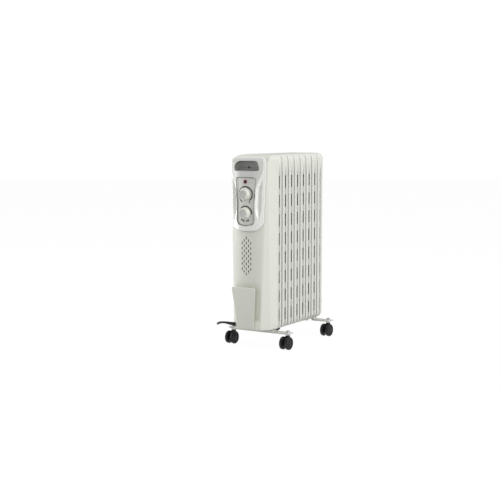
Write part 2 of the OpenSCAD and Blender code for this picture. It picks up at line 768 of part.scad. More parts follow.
bolt_end_z = fin_low - bracket_t - nut_h - 4;
module u_bolts() color(steel) for (e = [0, 1]) at_foot(e) translate([0, bolt_y, low_z]) {
    rotate([90, 0, 0]) rotate_extrude(angle = 180) translate([bolt_ring_r, 0]) circle(rod_r);
    for (s = [-1, 1]) translate([s * bolt_ring_r, 0, bolt_end_z - low_z])
        cylinder(r = rod_r, h = low_z - bolt_end_z);
}

module wing_nuts() color(steel) for (e = [0, 1], s = [-1, 1]) at_foot(e)
    translate([s * bolt_ring_r, bolt_y, fin_low - bracket_t - nut_h]) difference() {
        union() {
            cylinder(r = 5, h = nut_h);
            translate([-12, -1.2, -3]) cube([24, 2.4, 7]);
        }
        translate([0, 0, -4]) cylinder(r = rod_r + nut_gap, h = nut_h + 8);
    }

module at_stem(side, e) translate([side * stem_span / 2, e == 0 ? stem_y : last_y - stem_y, 0])
    children();

module castor_nuts() color(steel) for (c = castors) at_stem(c[1], c[2])
    translate([0, 0, arm_z]) difference() {
        cylinder(r = stem_r + 4, h = 5, $fn = 6);
        translate([0, 0, -1]) cylinder(r = stem_r + nut_gap, h = 8);
    }

module castor_stem(side, e) color(steel) at_stem(side, e) {
    translate([0, 0, axle_z + 4]) cylinder(r = stem_r, h = arm_z + 7 - axle_z - 4);
    translate([0, 0, castor_top + 0.3])
        cylinder(r = stem_r + 3.5, h = arm_z - bracket_t - castor_top - 0.3);
}

module castor_body(side, e) color(charcoal) at_stem(side, e) difference() {
    union() {
        along_x(-castor_body_w / 2, castor_body_w / 2) polygon([
            [-trail, axle_z - 9], [-trail - 9, axle_z], [-trail - 5, axle_z + 14],
            [-5.5, castor_top], [6, castor_top], [6, axle_z + 2], [1, axle_z - 5]]);
        along_x(-castor_body_w / 2, castor_body_w / 2) translate([-trail, axle_z]) circle(9);
    }
    translate([0, 0, axle_z + 3.5]) cylinder(r = stem_r + run_gap, h = 30);
    along_x(-10, 10) translate([-trail, axle_z]) circle(axle_r + run_gap);
}

module at_axle(side, e) at_stem(side, e) translate([0, -trail, axle_z]) children();

module castor_axle(side, e) color(steel) at_axle(side, e) rotate([0, 90, 0])
    cylinder(r = axle_r, h = 2 * (castor_body_w / 2 + wheel_gap + wheel_w - 2), center = true);

module castor_wheels(side, e) color(charcoal) at_axle(side, e) for (s = [0, 1]) mirror([s, 0, 0])
    translate([castor_body_w / 2 + wheel_gap, 0, 0]) rotate([0, 90, 0]) difference() {
        rotate_extrude() polygon([
            [0, 0], [wheel_r - 1.5, 0], [wheel_r, 1.5], [wheel_r, wheel_w - 2.5],
            [wheel_r - 2.5, wheel_w], [wheel_r - 5, wheel_w], [wheel_r - 6, wheel_w - 1.5],
            [7, wheel_w - 1.5], [6, wheel_w], [0, wheel_w]]);
        translate([0, 0, -1]) cylinder(r = axle_r, h = wheel_w - 1);
    }

// ---------------------------------------------------------------- mains lead

lead_r = cord_d / 2;
relief_tip = [exit_x, exit_y, exit_z] + relief_l * [cos(217) * cos(10), sin(217) * cos(10), sin(10)];
entry_x = -202;
coil_x = entry_x + coil_r + lead_r;
coil_y = last_y + coil_r + 43;
coil_h = 3 * cord_d;
lead_route = [
    relief_tip, [-84, -98, 85], [-98, -96, 83], [-110, -88, 78.5], [-121, -74, 73.5], [-131, -56, 70],
    [-140, -37, 67.5], [-148, -16, 65.5], [-154, 6, 63], [-158, 30, 59], [-160, 55, 54], [-160, 80, 48],
    [-160, 105, 40.5], [-160.5, 130, 31.5], [-162.5, 155, 22.5], [-167, 180, 15], [-173.5, 205, 9],
    [-181.5, 230, 5], [-189.5, 255, 3.5], [-196, 280, lead_r], [-200.5, 305, lead_r],
    [entry_x, 330, lead_r], [entry_x, coil_y, lead_r]];
tail_y = coil_y - coil_r - lead_r;
plug_x = coil_x - 62;
tail_route = [[coil_x, tail_y, coil_h - lead_r], [coil_x - 15, tail_y, coil_h - lead_r],
              [coil_x - 30, tail_y, coil_h - lead_r + 0.5], [coil_x - 45, tail_y, plug_r - 0.7],
              [plug_x, tail_y, plug_r]];

module mains_lead() color(charcoal) tube(lead_route, lead_r, 8, [0, 0, 1]);
module lead_tail() color(charcoal) tube(tail_route, lead_r, 8, [0, 0, 1]);

module lead_coil() color(charcoal) translate([coil_x, coil_y, 0]) rotate_extrude()
    polygon([[coil_r - cord_d + 1, 0], [coil_r + cord_d - 1, 0], [coil_r + cord_d, 1],
             [coil_r + cord_d, coil_h - 1], [coil_r + cord_d - 1, coil_h],
             [coil_r - cord_d + 1, coil_h], [coil_r - cord_d, coil_h - 1], [coil_r - cord_d, 1]]);

module lead_tie() color("#1b1b1b") translate([coil_x, coil_y + coil_r, 0]) difference() {
    translate([-2.5, -cord_d - 1.2, 0]) cube([5, 2 * cord_d + 2.4, coil_h + 1.2]);
    translate([-3, -cord_d - 0.2, 1]) cube([6, 2 * cord_d + 0.4, coil_h - 0.8]);
}

// The plug's axis runs along -X, from the end of the lead to its pins.
module at_plug() translate([plug_x, tail_y, plug_r]) rotate([0, -90, 0]) children();
plug_l = 54;
module plug_body() color(charcoal) at_plug() difference() {
    union() {
        cylinder(r1 = 4.2, r2 = 6.5, h = 20);
        translate([0, 0, 20]) cylinder(r1 = 9, r2 = plug_r, h = 12);
        translate([0, 0, 32]) cylinder(r = plug_r, h = plug_l - 32);
    }
    for (s = [-1, 1]) {
        translate([0, s * 9.5, plug_l - 6]) cylinder(r = pin_r + 0.8, h = 8);
        translate([s * (plug_r - 0.75), 0, plug_l - 6.5]) cube([2, 6, 14], center = true);
    }
}

module plug_pins() color(steel) at_plug() for (s = [-1, 1]) {
    translate([0, s * 9.5, plug_l - 6]) cylinder(r = pin_r + 0.8, h = 6);
    translate([0, s * 9.5, plug_l]) cylinder(r = pin_r, h = pin_l);
    translate([s * (plug_r - 1.2), 0, plug_l - 6.5]) cube([0.8, 5.6, 13], center = true);
}

// ---------------------------------------------------------------- nodes

for (i = [1:fin_count]) place() fin(i);
place() heating_element();
place() element_flange();
place() flange_gasket();
place() oil_plug();
place() housing_shell();
place() back_plate();
place() control_bezel();
place() dial_plate();
place() grip_liner();
place() indicator_lens();
place() indicator_lamp();
place() thermostat_knob();
place() thermostat_shaft();
place() thermostat_body();
place() selector_knob();
place() selector_shaft();
place() selector_switch();
place() terminal_block();
place() thermal_cutout();
place() tip_switch_case();
place() tip_switch_pendulum();
place() internal_wiring();
place() housing_screws();
place() cord_plate();
place() strain_relief();
place() front_bracket();
place() rear_bracket();
place() u_bolts();
place() wing_nuts();
place() castor_nuts();
for (c = castors) {
    place() castor_stem(c[1], c[2]);
    place() castor_body(c[1], c[2]);
    place() castor_axle(c[1], c[2]);
    place() castor_wheels(c[1], c[2]);
}
place() mains_lead();
place() lead_coil();
place() lead_tail();
place() lead_tie();
place() plug_body();
place() plug_pins();
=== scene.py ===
import json
import math

import bmesh
import bpy
from mathutils import Matrix, Vector


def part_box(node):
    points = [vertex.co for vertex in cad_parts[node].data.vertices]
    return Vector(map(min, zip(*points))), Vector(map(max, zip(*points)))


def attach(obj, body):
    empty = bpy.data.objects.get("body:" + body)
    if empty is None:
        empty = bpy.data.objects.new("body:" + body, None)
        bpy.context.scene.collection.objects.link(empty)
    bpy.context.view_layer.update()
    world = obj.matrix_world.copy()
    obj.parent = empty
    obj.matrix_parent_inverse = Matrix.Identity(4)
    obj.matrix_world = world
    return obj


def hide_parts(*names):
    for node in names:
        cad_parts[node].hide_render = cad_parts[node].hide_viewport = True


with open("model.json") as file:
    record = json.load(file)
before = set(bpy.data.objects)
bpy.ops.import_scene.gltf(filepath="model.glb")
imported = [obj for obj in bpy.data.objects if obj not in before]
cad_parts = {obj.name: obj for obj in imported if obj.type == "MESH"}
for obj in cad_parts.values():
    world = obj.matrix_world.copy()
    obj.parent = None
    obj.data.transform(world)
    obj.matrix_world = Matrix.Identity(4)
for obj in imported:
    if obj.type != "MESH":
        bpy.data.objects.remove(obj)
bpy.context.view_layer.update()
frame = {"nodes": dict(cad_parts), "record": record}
mm = 0.001
record = frame["record"]
slotOf = {part["node"]: part["material_slot"] for part in record["subparts"]}
bodyOf = {node: body for body, nodes in record["behaviour"]["bodies"].items() for node in nodes}
collection = bpy.context.scene.collection

housingLow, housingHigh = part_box("housing_shell")
panelLow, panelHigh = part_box("control_bezel")
crownY = housingLow.y
rimY = housingHigh.y
firstFinY = rimY + 12 * mm  # middle plane of the first fin
finPitch = 40 * mm
lastFinY = firstFinY + 7 * finPitch
creaseRun = housingHigh.z - housingLow.z - 30 * mm  # height over which the front's bevel widens


def smoothLess(a, b, blend):
    h = max(blend - abs(a - b), 0) / blend
    return min(a, b) - h * h * blend / 4


def smoothStep(low, high, x):
    t = min(max((x - low) / (high - low), 0), 1)
    return t * t * (3 - 2 * t)


def curveAt(points, x):
    if x <= points[0][0]:
        return points[0][1]
    for (x0, y0), (x1, y1) in zip(points, points[1:]):
        if x <= x1:
            t = (x - x0) / (x1 - x0)
            return y0 + (y1 - y0) * t * t * (3 - 2 * t)
    return points[-1][1]


# Camera

cameraSettings = {"azimuth": 31.587, "elevation": 6.281, "distance": 3.5868,
                  "aim": (0, firstFinY - 67 * mm, 324 * mm), "lens": 80.2, "sensor": 36, "far": 50}


def makeCamera():
    a = math.radians(cameraSettings["azimuth"])
    e = math.radians(cameraSettings["elevation"])
    back = Vector((math.sin(a) * math.cos(e), -math.cos(a) * math.cos(e), math.sin(e)))
    camera = bpy.data.objects.new("camera", bpy.data.cameras.new("camera"))
    camera.data.lens = cameraSettings["lens"]
    camera.data.sensor_width = cameraSettings["sensor"]
    camera.data.clip_end = cameraSettings["far"]
    camera.location = Vector(cameraSettings["aim"]) + back * cameraSettings["distance"]
    camera.rotation_mode = "QUATERNION"
    camera.rotation_quaternion = (-back).to_track_quat("-Z", "Y")
    collection.objects.link(camera)
    bpy.context.scene.camera = camera


makeCamera()
print("camera ready")


# Shader helpers

def paint(red, green, blue):
    def linear(c):
        c = c / 255
        return c / 12.92 if c <= 0.04045 else ((c + 0.055) / 1.055) ** 2.4
    return (linear(red), linear(green), linear(blue), 1)


class Value:
    def __init__(self, finish, socket):
        self.finish = finish
        self.socket = socket

    def math(self, operation, a, b=0.0):
        node = self.finish.node("ShaderNodeMath", {"operation": operation}, {0: a, 1: b})
        return Value(self.finish, node.outputs[0])

    def __add__(self, other):
        return self.math("ADD", self, other)

    __radd__ = __add__

    def __sub__(self, other):
        return self.math("SUBTRACT", self, other)

    def __rsub__(self, other):
        return self.math("SUBTRACT", other, self)

    def __mul__(self, other):
        return self.math("MULTIPLY", self, other)

    __rmul__ = __mul__

    def sine(self):
        return self.math("SINE", self)

    def most(self, other):
        return self.math("MAXIMUM", self, other)


class Finish:
    def __init__(self, name, colour, roughness, metallic=0.0, specular=0.5, coat=0.0, coatRoughness=0.1):
        self.material = bpy.data.materials.new(name)
        self.material.use_nodes = True
        self.tree = self.material.node_tree
        self.surface = self.tree.nodes["Principled BSDF"]
        self.colour = colour
        self.material.diffuse_color = colour
        self.set("Base Color", colour)
        self.set("Roughness", roughness)
        self.set("Metallic", metallic)
        self.set("Specular IOR Level", specular)
        self.set("Coat Weight", coat)
        self.set("Coat Roughness", coatRoughness)
        self.coords = self.node("ShaderNodeTexCoord").outputs["Object"]

    def set(self, name, value):
        self.link(self.surface.inputs[name], value)

    def link(self, socket, value):
        if isinstance(value, Value):
            self.tree.links.new(value.socket, socket)
        elif isinstance(value, bpy.types.NodeSocket):
            self.tree.links.new(value, socket)
        else:
            socket.default_value = value

    def node(self, kind, settings=None, values=None):
        node = self.tree.nodes.new(kind)
        for name, value in (settings or {}).items():
            if name == "stops":
                ramp = node.color_ramp
                while len(ramp.elements) < len(value):
                    ramp.elements.new(0.5)
                for element, (place, colour) in zip(ramp.elements, value):
                    element.position = place
                    element.color = colour
            else:
                setattr(node, name, value)
        for name, value in (values or {}).items():
            self.link(node.inputs[name], value)
        return node

    def noise(self, scale, detail=3.0, rough=0.5, stretch=(1, 1, 1)):
        place = self.node("ShaderNodeMapping", {}, {"Vector": self.coords, "Scale": stretch})
        node = self.node("ShaderNodeTexNoise", {},
                         {"Vector": place.outputs[0], "Scale": scale, "Detail": detail, "Roughness": rough})
        return Value(self, node.outputs[0])

    def cells(self, scale):
        node = self.node("ShaderNodeTexVoronoi", {"feature": "F1"},
                         {"Vector": self.coords, "Scale": scale})
        return Value(self, node.outputs["Distance"])

    def axis(self, name):
        parts = self.node("ShaderNodeSeparateXYZ", {}, {0: self.coords})
        return Value(self, parts.outputs[name])

    def ramp(self, value, low, high, first=0.0, last=1.0):
        node = self.node("ShaderNodeMapRange", {"clamp": True},
                         {"Value": value, "From Min": low, "From Max": high, "To Min": first, "To Max": last})
        return Value(self, node.outputs[0])

    def blend(self, mask, a, b):
        node = self.node("ShaderNodeMix", {"data_type": "RGBA"}, {"Factor": mask, "A": a, "B": b})
        return node.outputs["Result"]

    def bump(self, height, distance, strength=1.0):
        node = self.node("ShaderNodeBump", {}, {"Height": height, "Distance": distance, "Strength": strength})
        self.set("Normal", node.outputs[0])

    def tint(self, amount, scale, detail=3.0):
        cloud = self.ramp(self.noise(scale, detail), 0.35, 0.65)
        darker = tuple(c * (1 - amount) for c in self.colour[:3]) + (1,)
        self.set("Base Color", self.blend(cloud, self.colour, darker))
        return cloud


# Finishes, one for each material slot and a few of their own

enamelSettings = {  # painted shade: darker in the folds between the fins, and a painted shadow colour, darkest, on their inner sides
    "valley": (2 * mm, 7 * mm), "gap": (14.5 * mm, 18 * mm), "depth": 0.6,  # distances from a fin's middle
    "foldTop": (0.57, 0.602), "foldFoot": (0.06, 0.066),
    "web": (67.0 * mm, 67.8 * mm), "webBack": (0.25 * mm, 0.65 * mm), "webTop": (0.6, 0.61),
    "webFoot": (0.07, 0.09), "lastWeb": (68.3 * mm, 68.5 * mm), "lastFront": (-0.25 * mm, -0.05 * mm),
    "lastBack": (0.15 * mm, 0.35 * mm), "shadowPaint": (84, 84, 80)}


def makeEnamel():
    s = enamelSettings
    f = Finish("finEnamelPaintedShade", paint(227, 228, 220), 0.36, coat=0.25, coatRoughness=0.25)
    cloud = f.tint(0.02, 9)
    away = f.axis("Y").math("PINGPONG", f.axis("Y") - firstFinY, finPitch / 2)
    height = f.axis("Z")
    # painted shade: the colour darkens in the fold valleys and in the gaps between the fins, below the fold
    # tops
    hollow = f.ramp(away, *s["valley"], 1, 0).most(f.ramp(away, *s["gap"]))
    below = f.ramp(height, *s["foldTop"], 1, 0) * f.ramp(height, *s["foldFoot"])
    shade = tuple(c * s["depth"] for c in f.colour[:3]) + (1,)
    foldShadedColour = f.blend(hollow * below, f.colour, shade)
    across = f.axis("X").math("ABSOLUTE", f.axis("X"))

    def fromLast(limits, first=0.0, last=1.0):
        return f.ramp(f.axis("Y"), lastFinY + limits[0], lastFinY + limits[1], first, last)

    # painted shadow: the fins' inner webs, and the last fin's web seen through its slots, take the dark
    # shadow colour
    innerShadeMask = f.ramp(across, *s["web"], 1, 0) * fromLast(s["webBack"], 1, 0)
    lastWeb = fromLast(s["lastFront"]) * fromLast(s["lastBack"], 1, 0)
    innerShadeMask = innerShadeMask.most(lastWeb * f.ramp(across, *s["lastWeb"], 1, 0))
    innerShadeMask = innerShadeMask * f.ramp(height, *s["webTop"], 1, 0) * f.ramp(height, *s["webFoot"])
    f.set("Base Color", f.blend(innerShadeMask, foldShadedColour, paint(*s["shadowPaint"])))
    peel = f.noise(420, 2, 0.45)
    f.set("Roughness", 0.32 + 0.08 * cloud)
    f.bump(peel, 0.00012, 0.5)
    return f.material


def makeWhitePlastic():
    f = Finish("housingPlastic", paint(231, 232, 222), 0.42)
    cloud = f.tint(0.015, 7)
    grain = f.noise(1500, 3, 0.6)
    f.set("Roughness", 0.4 + 0.07 * cloud)
    f.bump(grain, 0.00008, 0.4)
    return f.material


def makeWhiteGloss():
    f = Finish("glossMoulding", paint(247, 248, 244), 0.2, coat=0.3, coatRoughness=0.08)
    cloud = f.tint(0.012, 11)
    f.set("Roughness", 0.18 + 0.06 * cloud)
    f.bump(f.noise(60, 1, 0.4), 0.0001, 0.25)
    return f.material


def makeFieldGrey():
    f = Finish("fieldPaint", paint(217, 218, 214), 0.38)
    cloud = f.tint(0.03, 14)
    f.set("Roughness", 0.34 + 0.08 * cloud)
    f.bump(f.cells(1100), 0.0001, 0.35)
    return f.material


def makeDialGrey():
    f = Finish("dialPlastic", paint(220, 221, 215), 0.4)
    f.tint(0.02, 20)
    f.bump(f.cells(1400), 0.00008, 0.3)
    return f.material


def makeRecess():
    # mid grey, darker than the white mouldings: painted shade in the grip cup, on the dial's lip ring and on
    # the panel's neck
    f = Finish("recessGreyPaintedShade", paint(138, 139, 135), 0.5)
    f.tint(0.06, 25)
    f.bump(f.cells(900), 0.00015, 0.5)
    return f.material


def makeLens():
    f = Finish("lensRed", paint(62, 12, 20), 0.2, specular=0.4)
    rings = (f.cells(900) * 40).sine()
    f.tint(0.25, 300, 1)
    f.bump(rings, 0.00003, 0.2)
    return f.material


def makeLampGlass():
    f = Finish("lampGlass", paint(235, 214, 184), 0.15)
    f.tint(0.1, 60)
    return f.material


def makeCream():
    f = Finish("creamMoulding", paint(217, 208, 188), 0.45)
    f.tint(0.05, 40)
    f.bump(f.noise(900, 2), 0.0001, 0.4)
    return f.material


def makeCharcoal():
    f = Finish("castorPlastic", paint(26, 26, 26), 0.5, specular=0.35)
    cloud = f.tint(0.25, 30)
    f.set("Roughness", 0.42 + 0.16 * cloud)
    f.bump(f.cells(1300), 0.00012, 0.5)
    return f.material


def makeRubber():
    f = Finish("leadSheath", paint(34, 34, 35), 0.45, specular=0.4)
    cloud = f.tint(0.3, 45)
    f.set("Roughness", 0.38 + 0.15 * cloud)
    f.bump(f.noise(1200, 2), 0.00006, 0.4)
    return f.material


def makeZinc():
    f = Finish("zincPlate", paint(196, 198, 199), 0.34, metallic=1.0)
    spangle = f.ramp(f.cells(320), 0.0, 0.9)
    f.set("Base Color", f.blend(spangle, paint(206, 208, 208), paint(176, 178, 180)))
    f.set("Roughness", 0.28 + 0.16 * spangle)
    f.bump(f.noise(260, 3), 0.00008, 0.4)
    return f.material


def makeElement():
    f = Finish("elementTube", paint(140, 137, 133), 0.4, metallic=1.0)
    f.tint(0.15, 30)
    f.bump(f.noise(40, 4, 0.6, (1, 0.05, 1)), 0.0001, 0.4)
    return f.material


def makeNickel():
    f = Finish("pinNickel", paint(212, 208, 198), 0.18, metallic=1.0)
    streak = f.noise(900, 2, 0.5, (0.08, 1, 1))
    f.set("Roughness", 0.14 + 0.14 * streak)
    f.bump(streak, 0.00004, 0.3)
    return f.material


def makeInk():
    f = Finish("scaleInk", paint(34, 35, 31), 0.6)
    f.tint(0.15, 200)
    return f.material


def makePink():
    f = Finish("lampRing", paint(238, 216, 214), 0.5)
    f.tint(0.06, 150)
    return f.material


def makeKnobFace():
    f = Finish("knobFace", paint(206, 207, 202), 0.4)
    f.tint(0.03, 60)
    f.bump(f.noise(1400, 2), 0.00005, 0.4)
    return f.material


finishOf = {
    "fin_enamel": makeEnamel(), "white_plastic": makeWhitePlastic(), "white_gloss": makeWhiteGloss(),
    "grey_plastic": makeDialGrey(), "recess_plastic": makeRecess(), "red_lens": makeLens(),
    "lamp_glass": makeLampGlass(), "cream_plastic": makeCream(), "black_plastic": makeCharcoal(),
    "black_rubber": makeRubber(), "zinc_steel": makeZinc(), "element_steel": makeElement(),
    "nickel_pins": makeNickel()}
fieldPaint = makeFieldGrey()
scaleInk = makeInk()
ringPaint = makePink()
knobFacePaint = makeKnobFace()
for node, obj in frame["nodes"].items():
    obj.data.materials.clear()
    obj.data.materials.append(finishOf[slotOf[node]])
print("finishes ready")


# Mesh helpers

def addPiece(name, bm, nodes, materials=None, smooth=35, replace=True):
    mesh = bpy.data.meshes.new(name)
    bm.to_mesh(mesh)
    bm.free()
    obj = bpy.data.objects.new(name, mesh)
    collection.objects.link(obj)
    for material in materials or [finishOf[slotOf[nodes[0]]]]:
        mesh.materials.append(material)
    smoothByAngle(obj, smooth)
    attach(obj, bodyOf[nodes[0]])
    if replace:
        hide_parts(*nodes)
    return obj


def smoothByAngle(obj, degrees):
    obj.data.shade_smooth()
    obj.data.set_sharp_from_angle(angle=math.radians(degrees))


def cutOut(obj, tool):
    modifier = obj.modifiers.new("cutOut", "BOOLEAN")
    modifier.operation = "DIFFERENCE"
    modifier.object = tool
    modifier.solver = "EXACT"
    shape = obj.evaluated_get(bpy.context.evaluated_depsgraph_get())
    made = bpy.data.meshes.new_from_object(shape)
    obj.modifiers.clear()
    old = obj.data
    obj.data = made
    bpy.data.meshes.remove(old)
    bpy.data.objects.remove(tool)


def toolObject(bm):
    mesh = bpy.data.meshes.new("tool")
    bmesh.ops.recalc_face_normals(bm, faces=bm.faces)
    bm.to_mesh(mesh)
    bm.free()
    obj = bpy.data.objects.new("tool", mesh)
    collection.objects.link(obj)
    return obj


def spinProfile(bm, profile, centre, axis, steps):
    axis = Vector(axis).normalized()
    side = axis.orthogonal().normalized()
    before = set(bm.faces)
    verts = [bm.verts.new(Vector(centre) + axis * h + side * r) for r, h in profile]
    edges = [bm.edges.new(pair) for pair in zip(verts, verts[1:])]
    bmesh.ops.spin(bm, geom=verts + edges, cent=centre, axis=axis, angle=math.tau, steps=steps,
                   use_merge=True, use_duplicate=False)
    bmesh.ops.remove_doubles(bm, verts=bm.verts, dist=1e-6)
    faces = [f for f in bm.faces if f not in before]
    bmesh.ops.recalc_face_normals(bm, faces=faces)
    return faces


def arcPoints(centre, radius, start, end, count):
    return [(centre[0] + radius * math.cos(math.radians(start + (end - start) * i / count)),
             centre[1] + radius * math.sin(math.radians(start + (end - start) * i / count)))
            for i in range(count + 1)]


def slabOutline(half, low, high, lowRadius, highRadius):
    count = 10
    right = arcPoints((half - lowRadius, low + lowRadius), lowRadius, -90, 0, count)
    right += arcPoints((half - highRadius, high - highRadius), highRadius, 0, 90, count)
    return right + [(-x, z) for x, z in reversed(right)]


def pushBack(bm, face, depth):
    made = bmesh.ops.extrude_face_region(bm, geom=[face])["geom"]
    verts = [g for g in made if isinstance(g, bmesh.types.BMVert)]
    bmesh.ops.translate(bm, vec=(0, depth, 0), verts=verts)


def slabTool(outline, front, back):
    bm = bmesh.new()
    face = bm.faces.new([bm.verts.new((x, front, z)) for x, z in outline])
    pushBack(bm, face, back - front)
    return bm


def softened(node, name, width, segments, degrees):
    bm = bmesh.new()
    bm.from_mesh(frame["nodes"][node].data)
    bmesh.ops.remove_doubles(bm, verts=bm.verts, dist=2e-6)
    bmesh.ops.dissolve_limit(bm, angle_limit=math.radians(1), verts=bm.verts, edges=bm.edges)
    obj = addPiece(name, bm, [node])
    if "custom_normal" in obj.data.attributes:
        obj.data.attributes.remove(obj.data.attributes["custom_normal"])
    bevel = obj.modifiers.new("softEdges", "BEVEL")
    bevel.width = width
    bevel.segments = segments
    bevel.limit_method = "ANGLE"
    bevel.angle_limit = math.radians(degrees)
    bevel.harden_normals = True
    smoothByAngle(obj, degrees)


# Mains lead: the free run repeats the part's route, then the coil and the tail

leadSettings = {
    "diameter": 6.5 * mm, "coilRadius": 39 * mm, "turns": 3.75, "pointsPerTurn": 20, "clear": 0.1,
    "inward": (0.82, 1.0), "outward": (2.5, 2.68), "rises": ((1.62, 1.8), (3.32, 3.5)),  # in turns
    "tail": ((15, 0), (30, 0.2), (45, 0.8)), "intoPlug": 1 * mm,
    "free": [(-70.45, -92.88, 83.51), (-84, -98, 85), (-98, -96, 83), (-110, -88, 78.5), (-121, -74, 73.5),
             (-131, -56, 70), (-140, -37, 67.5), (-148, -16, 65.5), (-154, 6, 63), (-158, 30, 59),
             (-160, 55, 54), (-160, 80, 48), (-160, 105, 40.5), (-160.5, 130, 31.5), (-162.5, 155, 22.5),
             (-167, 180, 15), (-173.5, 205, 9), (-181.5, 230, 5), (-189.5, 255, 3.5),
             (-196, 280, 3.25), (-200.5, 305, 3.25), (-202, 330, 3.25)]}


def leadPoints():
    s = leadSettings
    radius = s["diameter"] / 2
    points = [Vector((x * mm, firstFinY + y * mm, (z + s["clear"]) * mm)) for x, y, z in s["free"]]
    coilLow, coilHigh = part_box("lead_coil")
    centre = (coilLow + coilHigh) / 2
    outer = s["coilRadius"] + radius
    count = int(s["turns"] * s["pointsPerTurn"])
    for i in range(count + 1):
        turn = s["turns"] * i / count
        inward = smoothStep(*s["inward"], turn) - smoothStep(*s["outward"], turn)
        layer = sum(smoothStep(*rise, turn) for rise in s["rises"])
        angle = math.pi - math.tau * turn
        reach = outer - 2 * radius * inward
        points.append(Vector((centre.x + reach * math.cos(angle), centre.y + reach * math.sin(angle),
                              radius * (1 + 2 * layer) + s["clear"] * mm)))
    plugLow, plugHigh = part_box("plug_body")
    plugZ = (plugLow.z + plugHigh.z) / 2
    end = points[-1]
    for step, rise in s["tail"]:
        points.append(Vector((end.x - step * mm, end.y, end.z + (plugZ - end.z) * rise)))
    points.append(Vector((plugHigh.x - s["intoPlug"], end.y, plugZ)))
    return points


def makeLead():
    points = leadPoints()
    curve = bpy.data.curves.new("mainsLead", "CURVE")
    curve.dimensions = "3D"
    curve.bevel_depth = leadSettings["diameter"] / 2
    curve.bevel_resolution = 5
    curve.resolution_u = 6
    curve.use_fill_caps = True
    spline = curve.splines.new("BEZIER")
    spline.bezier_points.add(len(points) - 1)
    for knot, point in zip(spline.bezier_points, points):
        knot.co = point
        knot.handle_left_type = "AUTO"
        knot.handle_right_type = "AUTO"
    lead = bpy.data.objects.new("mainsLead", curve)
    curve.materials.append(finishOf["black_rubber"])
    collection.objects.link(lead)
    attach(lead, "heater")
    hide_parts("mains_lead", "lead_coil", "lead_tail")
    length = spline.calc_length()
    print("lead length", round(length, 3))
    return lead, points[0], length


bootSettings = {"heading": 217, "climb": 10, "length": 26, "ribs": 5, "ribHalf": 6.5, "taper": 0.42,
                "firstRib": 3.2, "ribStep": 4.4,  # lengths in mm and angles in degrees
                "hole": [(0, -9), (5.3, -9), (5.3, 4), (0, 4)]}

lead, leadExit, leadLength = makeLead()
bootTurn = math.radians(bootSettings["heading"])
bootClimb = math.radians(bootSettings["climb"])
bootAxis = Vector((math.cos(bootTurn), math.sin(bootTurn), math.tan(bootClimb))).normalized()
bootBase = leadExit - bootAxis * bootSettings["length"] * mm


def makeBoot():
    s = bootSettings
    profile = [(0, -8), (7.2, -8), (7.2, -5.6), (5, -5.4), (5, -0.2)]  # collar inside the housing
    profile += [(6.6, 0), (7.2, 0.5), (7.2, 1.6), (6.7, 2.3)]  # collar outside it
    for k in range(s["ribs"]):
        wide, z = s["ribHalf"] - s["taper"] * k, s["firstRib"] + s["ribStep"] * k
        profile += [(wide - 0.9, z), (wide - 0.9, z + 0.9), (wide, z + 1.3)]
        profile += [(wide - 0.15, z + 3.4), (wide - 0.4, z + 3.8)]
    profile += [(4.0, 25.4), (3.7, s["length"]), (0, s["length"])]
    bm = bmesh.new()
    spinProfile(bm, [(r * mm, z * mm) for r, z in profile], bootBase, bootAxis, 36)
    addPiece("strainReliefBoot", bm, ["strain_relief"])


# Front housing

housingSettings = {"frontRadius": 118 * mm, "browRadius": 70 * mm, "flankDepth": 41 * mm, "footHalf": 48 * mm,
                   "topHalf": 66 * mm, "wall": 2.5 * mm, "cornerRadius": 18 * mm, "footRadius": 4 * mm,
                   "blend": 3 * mm, "creaseBlend": 1.6 * mm, "shallowest": 0.5 * mm, "past": 6 * mm,
                   "columns": 128, "rows": 230, "footShare": 0.03, "faceShare": 0.81, "browShare": 0.16}
behindSettings = {"half": 54 * mm, "foot": 8 * mm, "top": 12 * mm, "lowRadius": 24 * mm,
                  "highRadius": 16 * mm, "front": 5 * mm, "back": 24 * mm}  # opening behind the panel


def housingReach(angle, z, inset):
    s = housingSettings
    c, d = max(math.cos(angle), 1e-6), max(math.sin(angle), 1e-6)
    half = housingHigh.x - inset
    depth = crownY - rimY
    centre = depth + s["frontRadius"]
    faceY = centre - math.sqrt(s["frontRadius"] ** 2 - s["footHalf"] ** 2)
    run = Vector((housingHigh.x - s["footHalf"], -s["flankDepth"] - faceY))
    normal = Vector((run.y, -run.x)).normalized()
    topY = centre - math.sqrt(s["frontRadius"] ** 2 - s["topHalf"] ** 2)
    lean = normal.dot(Vector((s["topHalf"], topY)) - Vector((housingHigh.x, -s["flankDepth"])))
    lean /= creaseRun
    offset = normal.dot(Vector((housingHigh.x, -s["flankDepth"]))) + lean * (z - housingLow.z) - inset
    front = -d * centre + math.sqrt((d * centre) ** 2 + (s["frontRadius"] - inset) ** 2 - centre ** 2)
    reach = smoothLess(offset / (normal.x * c - normal.y * d), half / c, s["blend"])
    reach = smoothLess(reach, front, s["creaseBlend"])
    browZ = housingHigh.z - s["browRadius"]
    brow = s["browRadius"] - inset
    if z > browZ:
        rise = min(z - browZ, brow)
        limit = -depth - s["browRadius"] + math.sqrt(max(brow ** 2 - rise ** 2, 0))
        reach = smoothLess(reach, max(limit, s["shallowest"]) / d, s["blend"])
    corner = s["cornerRadius"] - inset
    cornerZ = housingHigh.z - s["cornerRadius"]
    if z > cornerZ:
        rise = min(z - cornerZ, corner)
        limit = half - corner + math.sqrt(max(corner ** 2 - rise ** 2, 0))
        reach = min(reach, limit / c)
    return reach


storeSettings = {"low": 94 * mm, "ledge": 2 * mm, "high": 228 * mm, "fade": 60 * mm, "floor": 11 * mm,
                 "flat": 0.5, "edge": 1.5 * mm, "spread": 19 * mm}


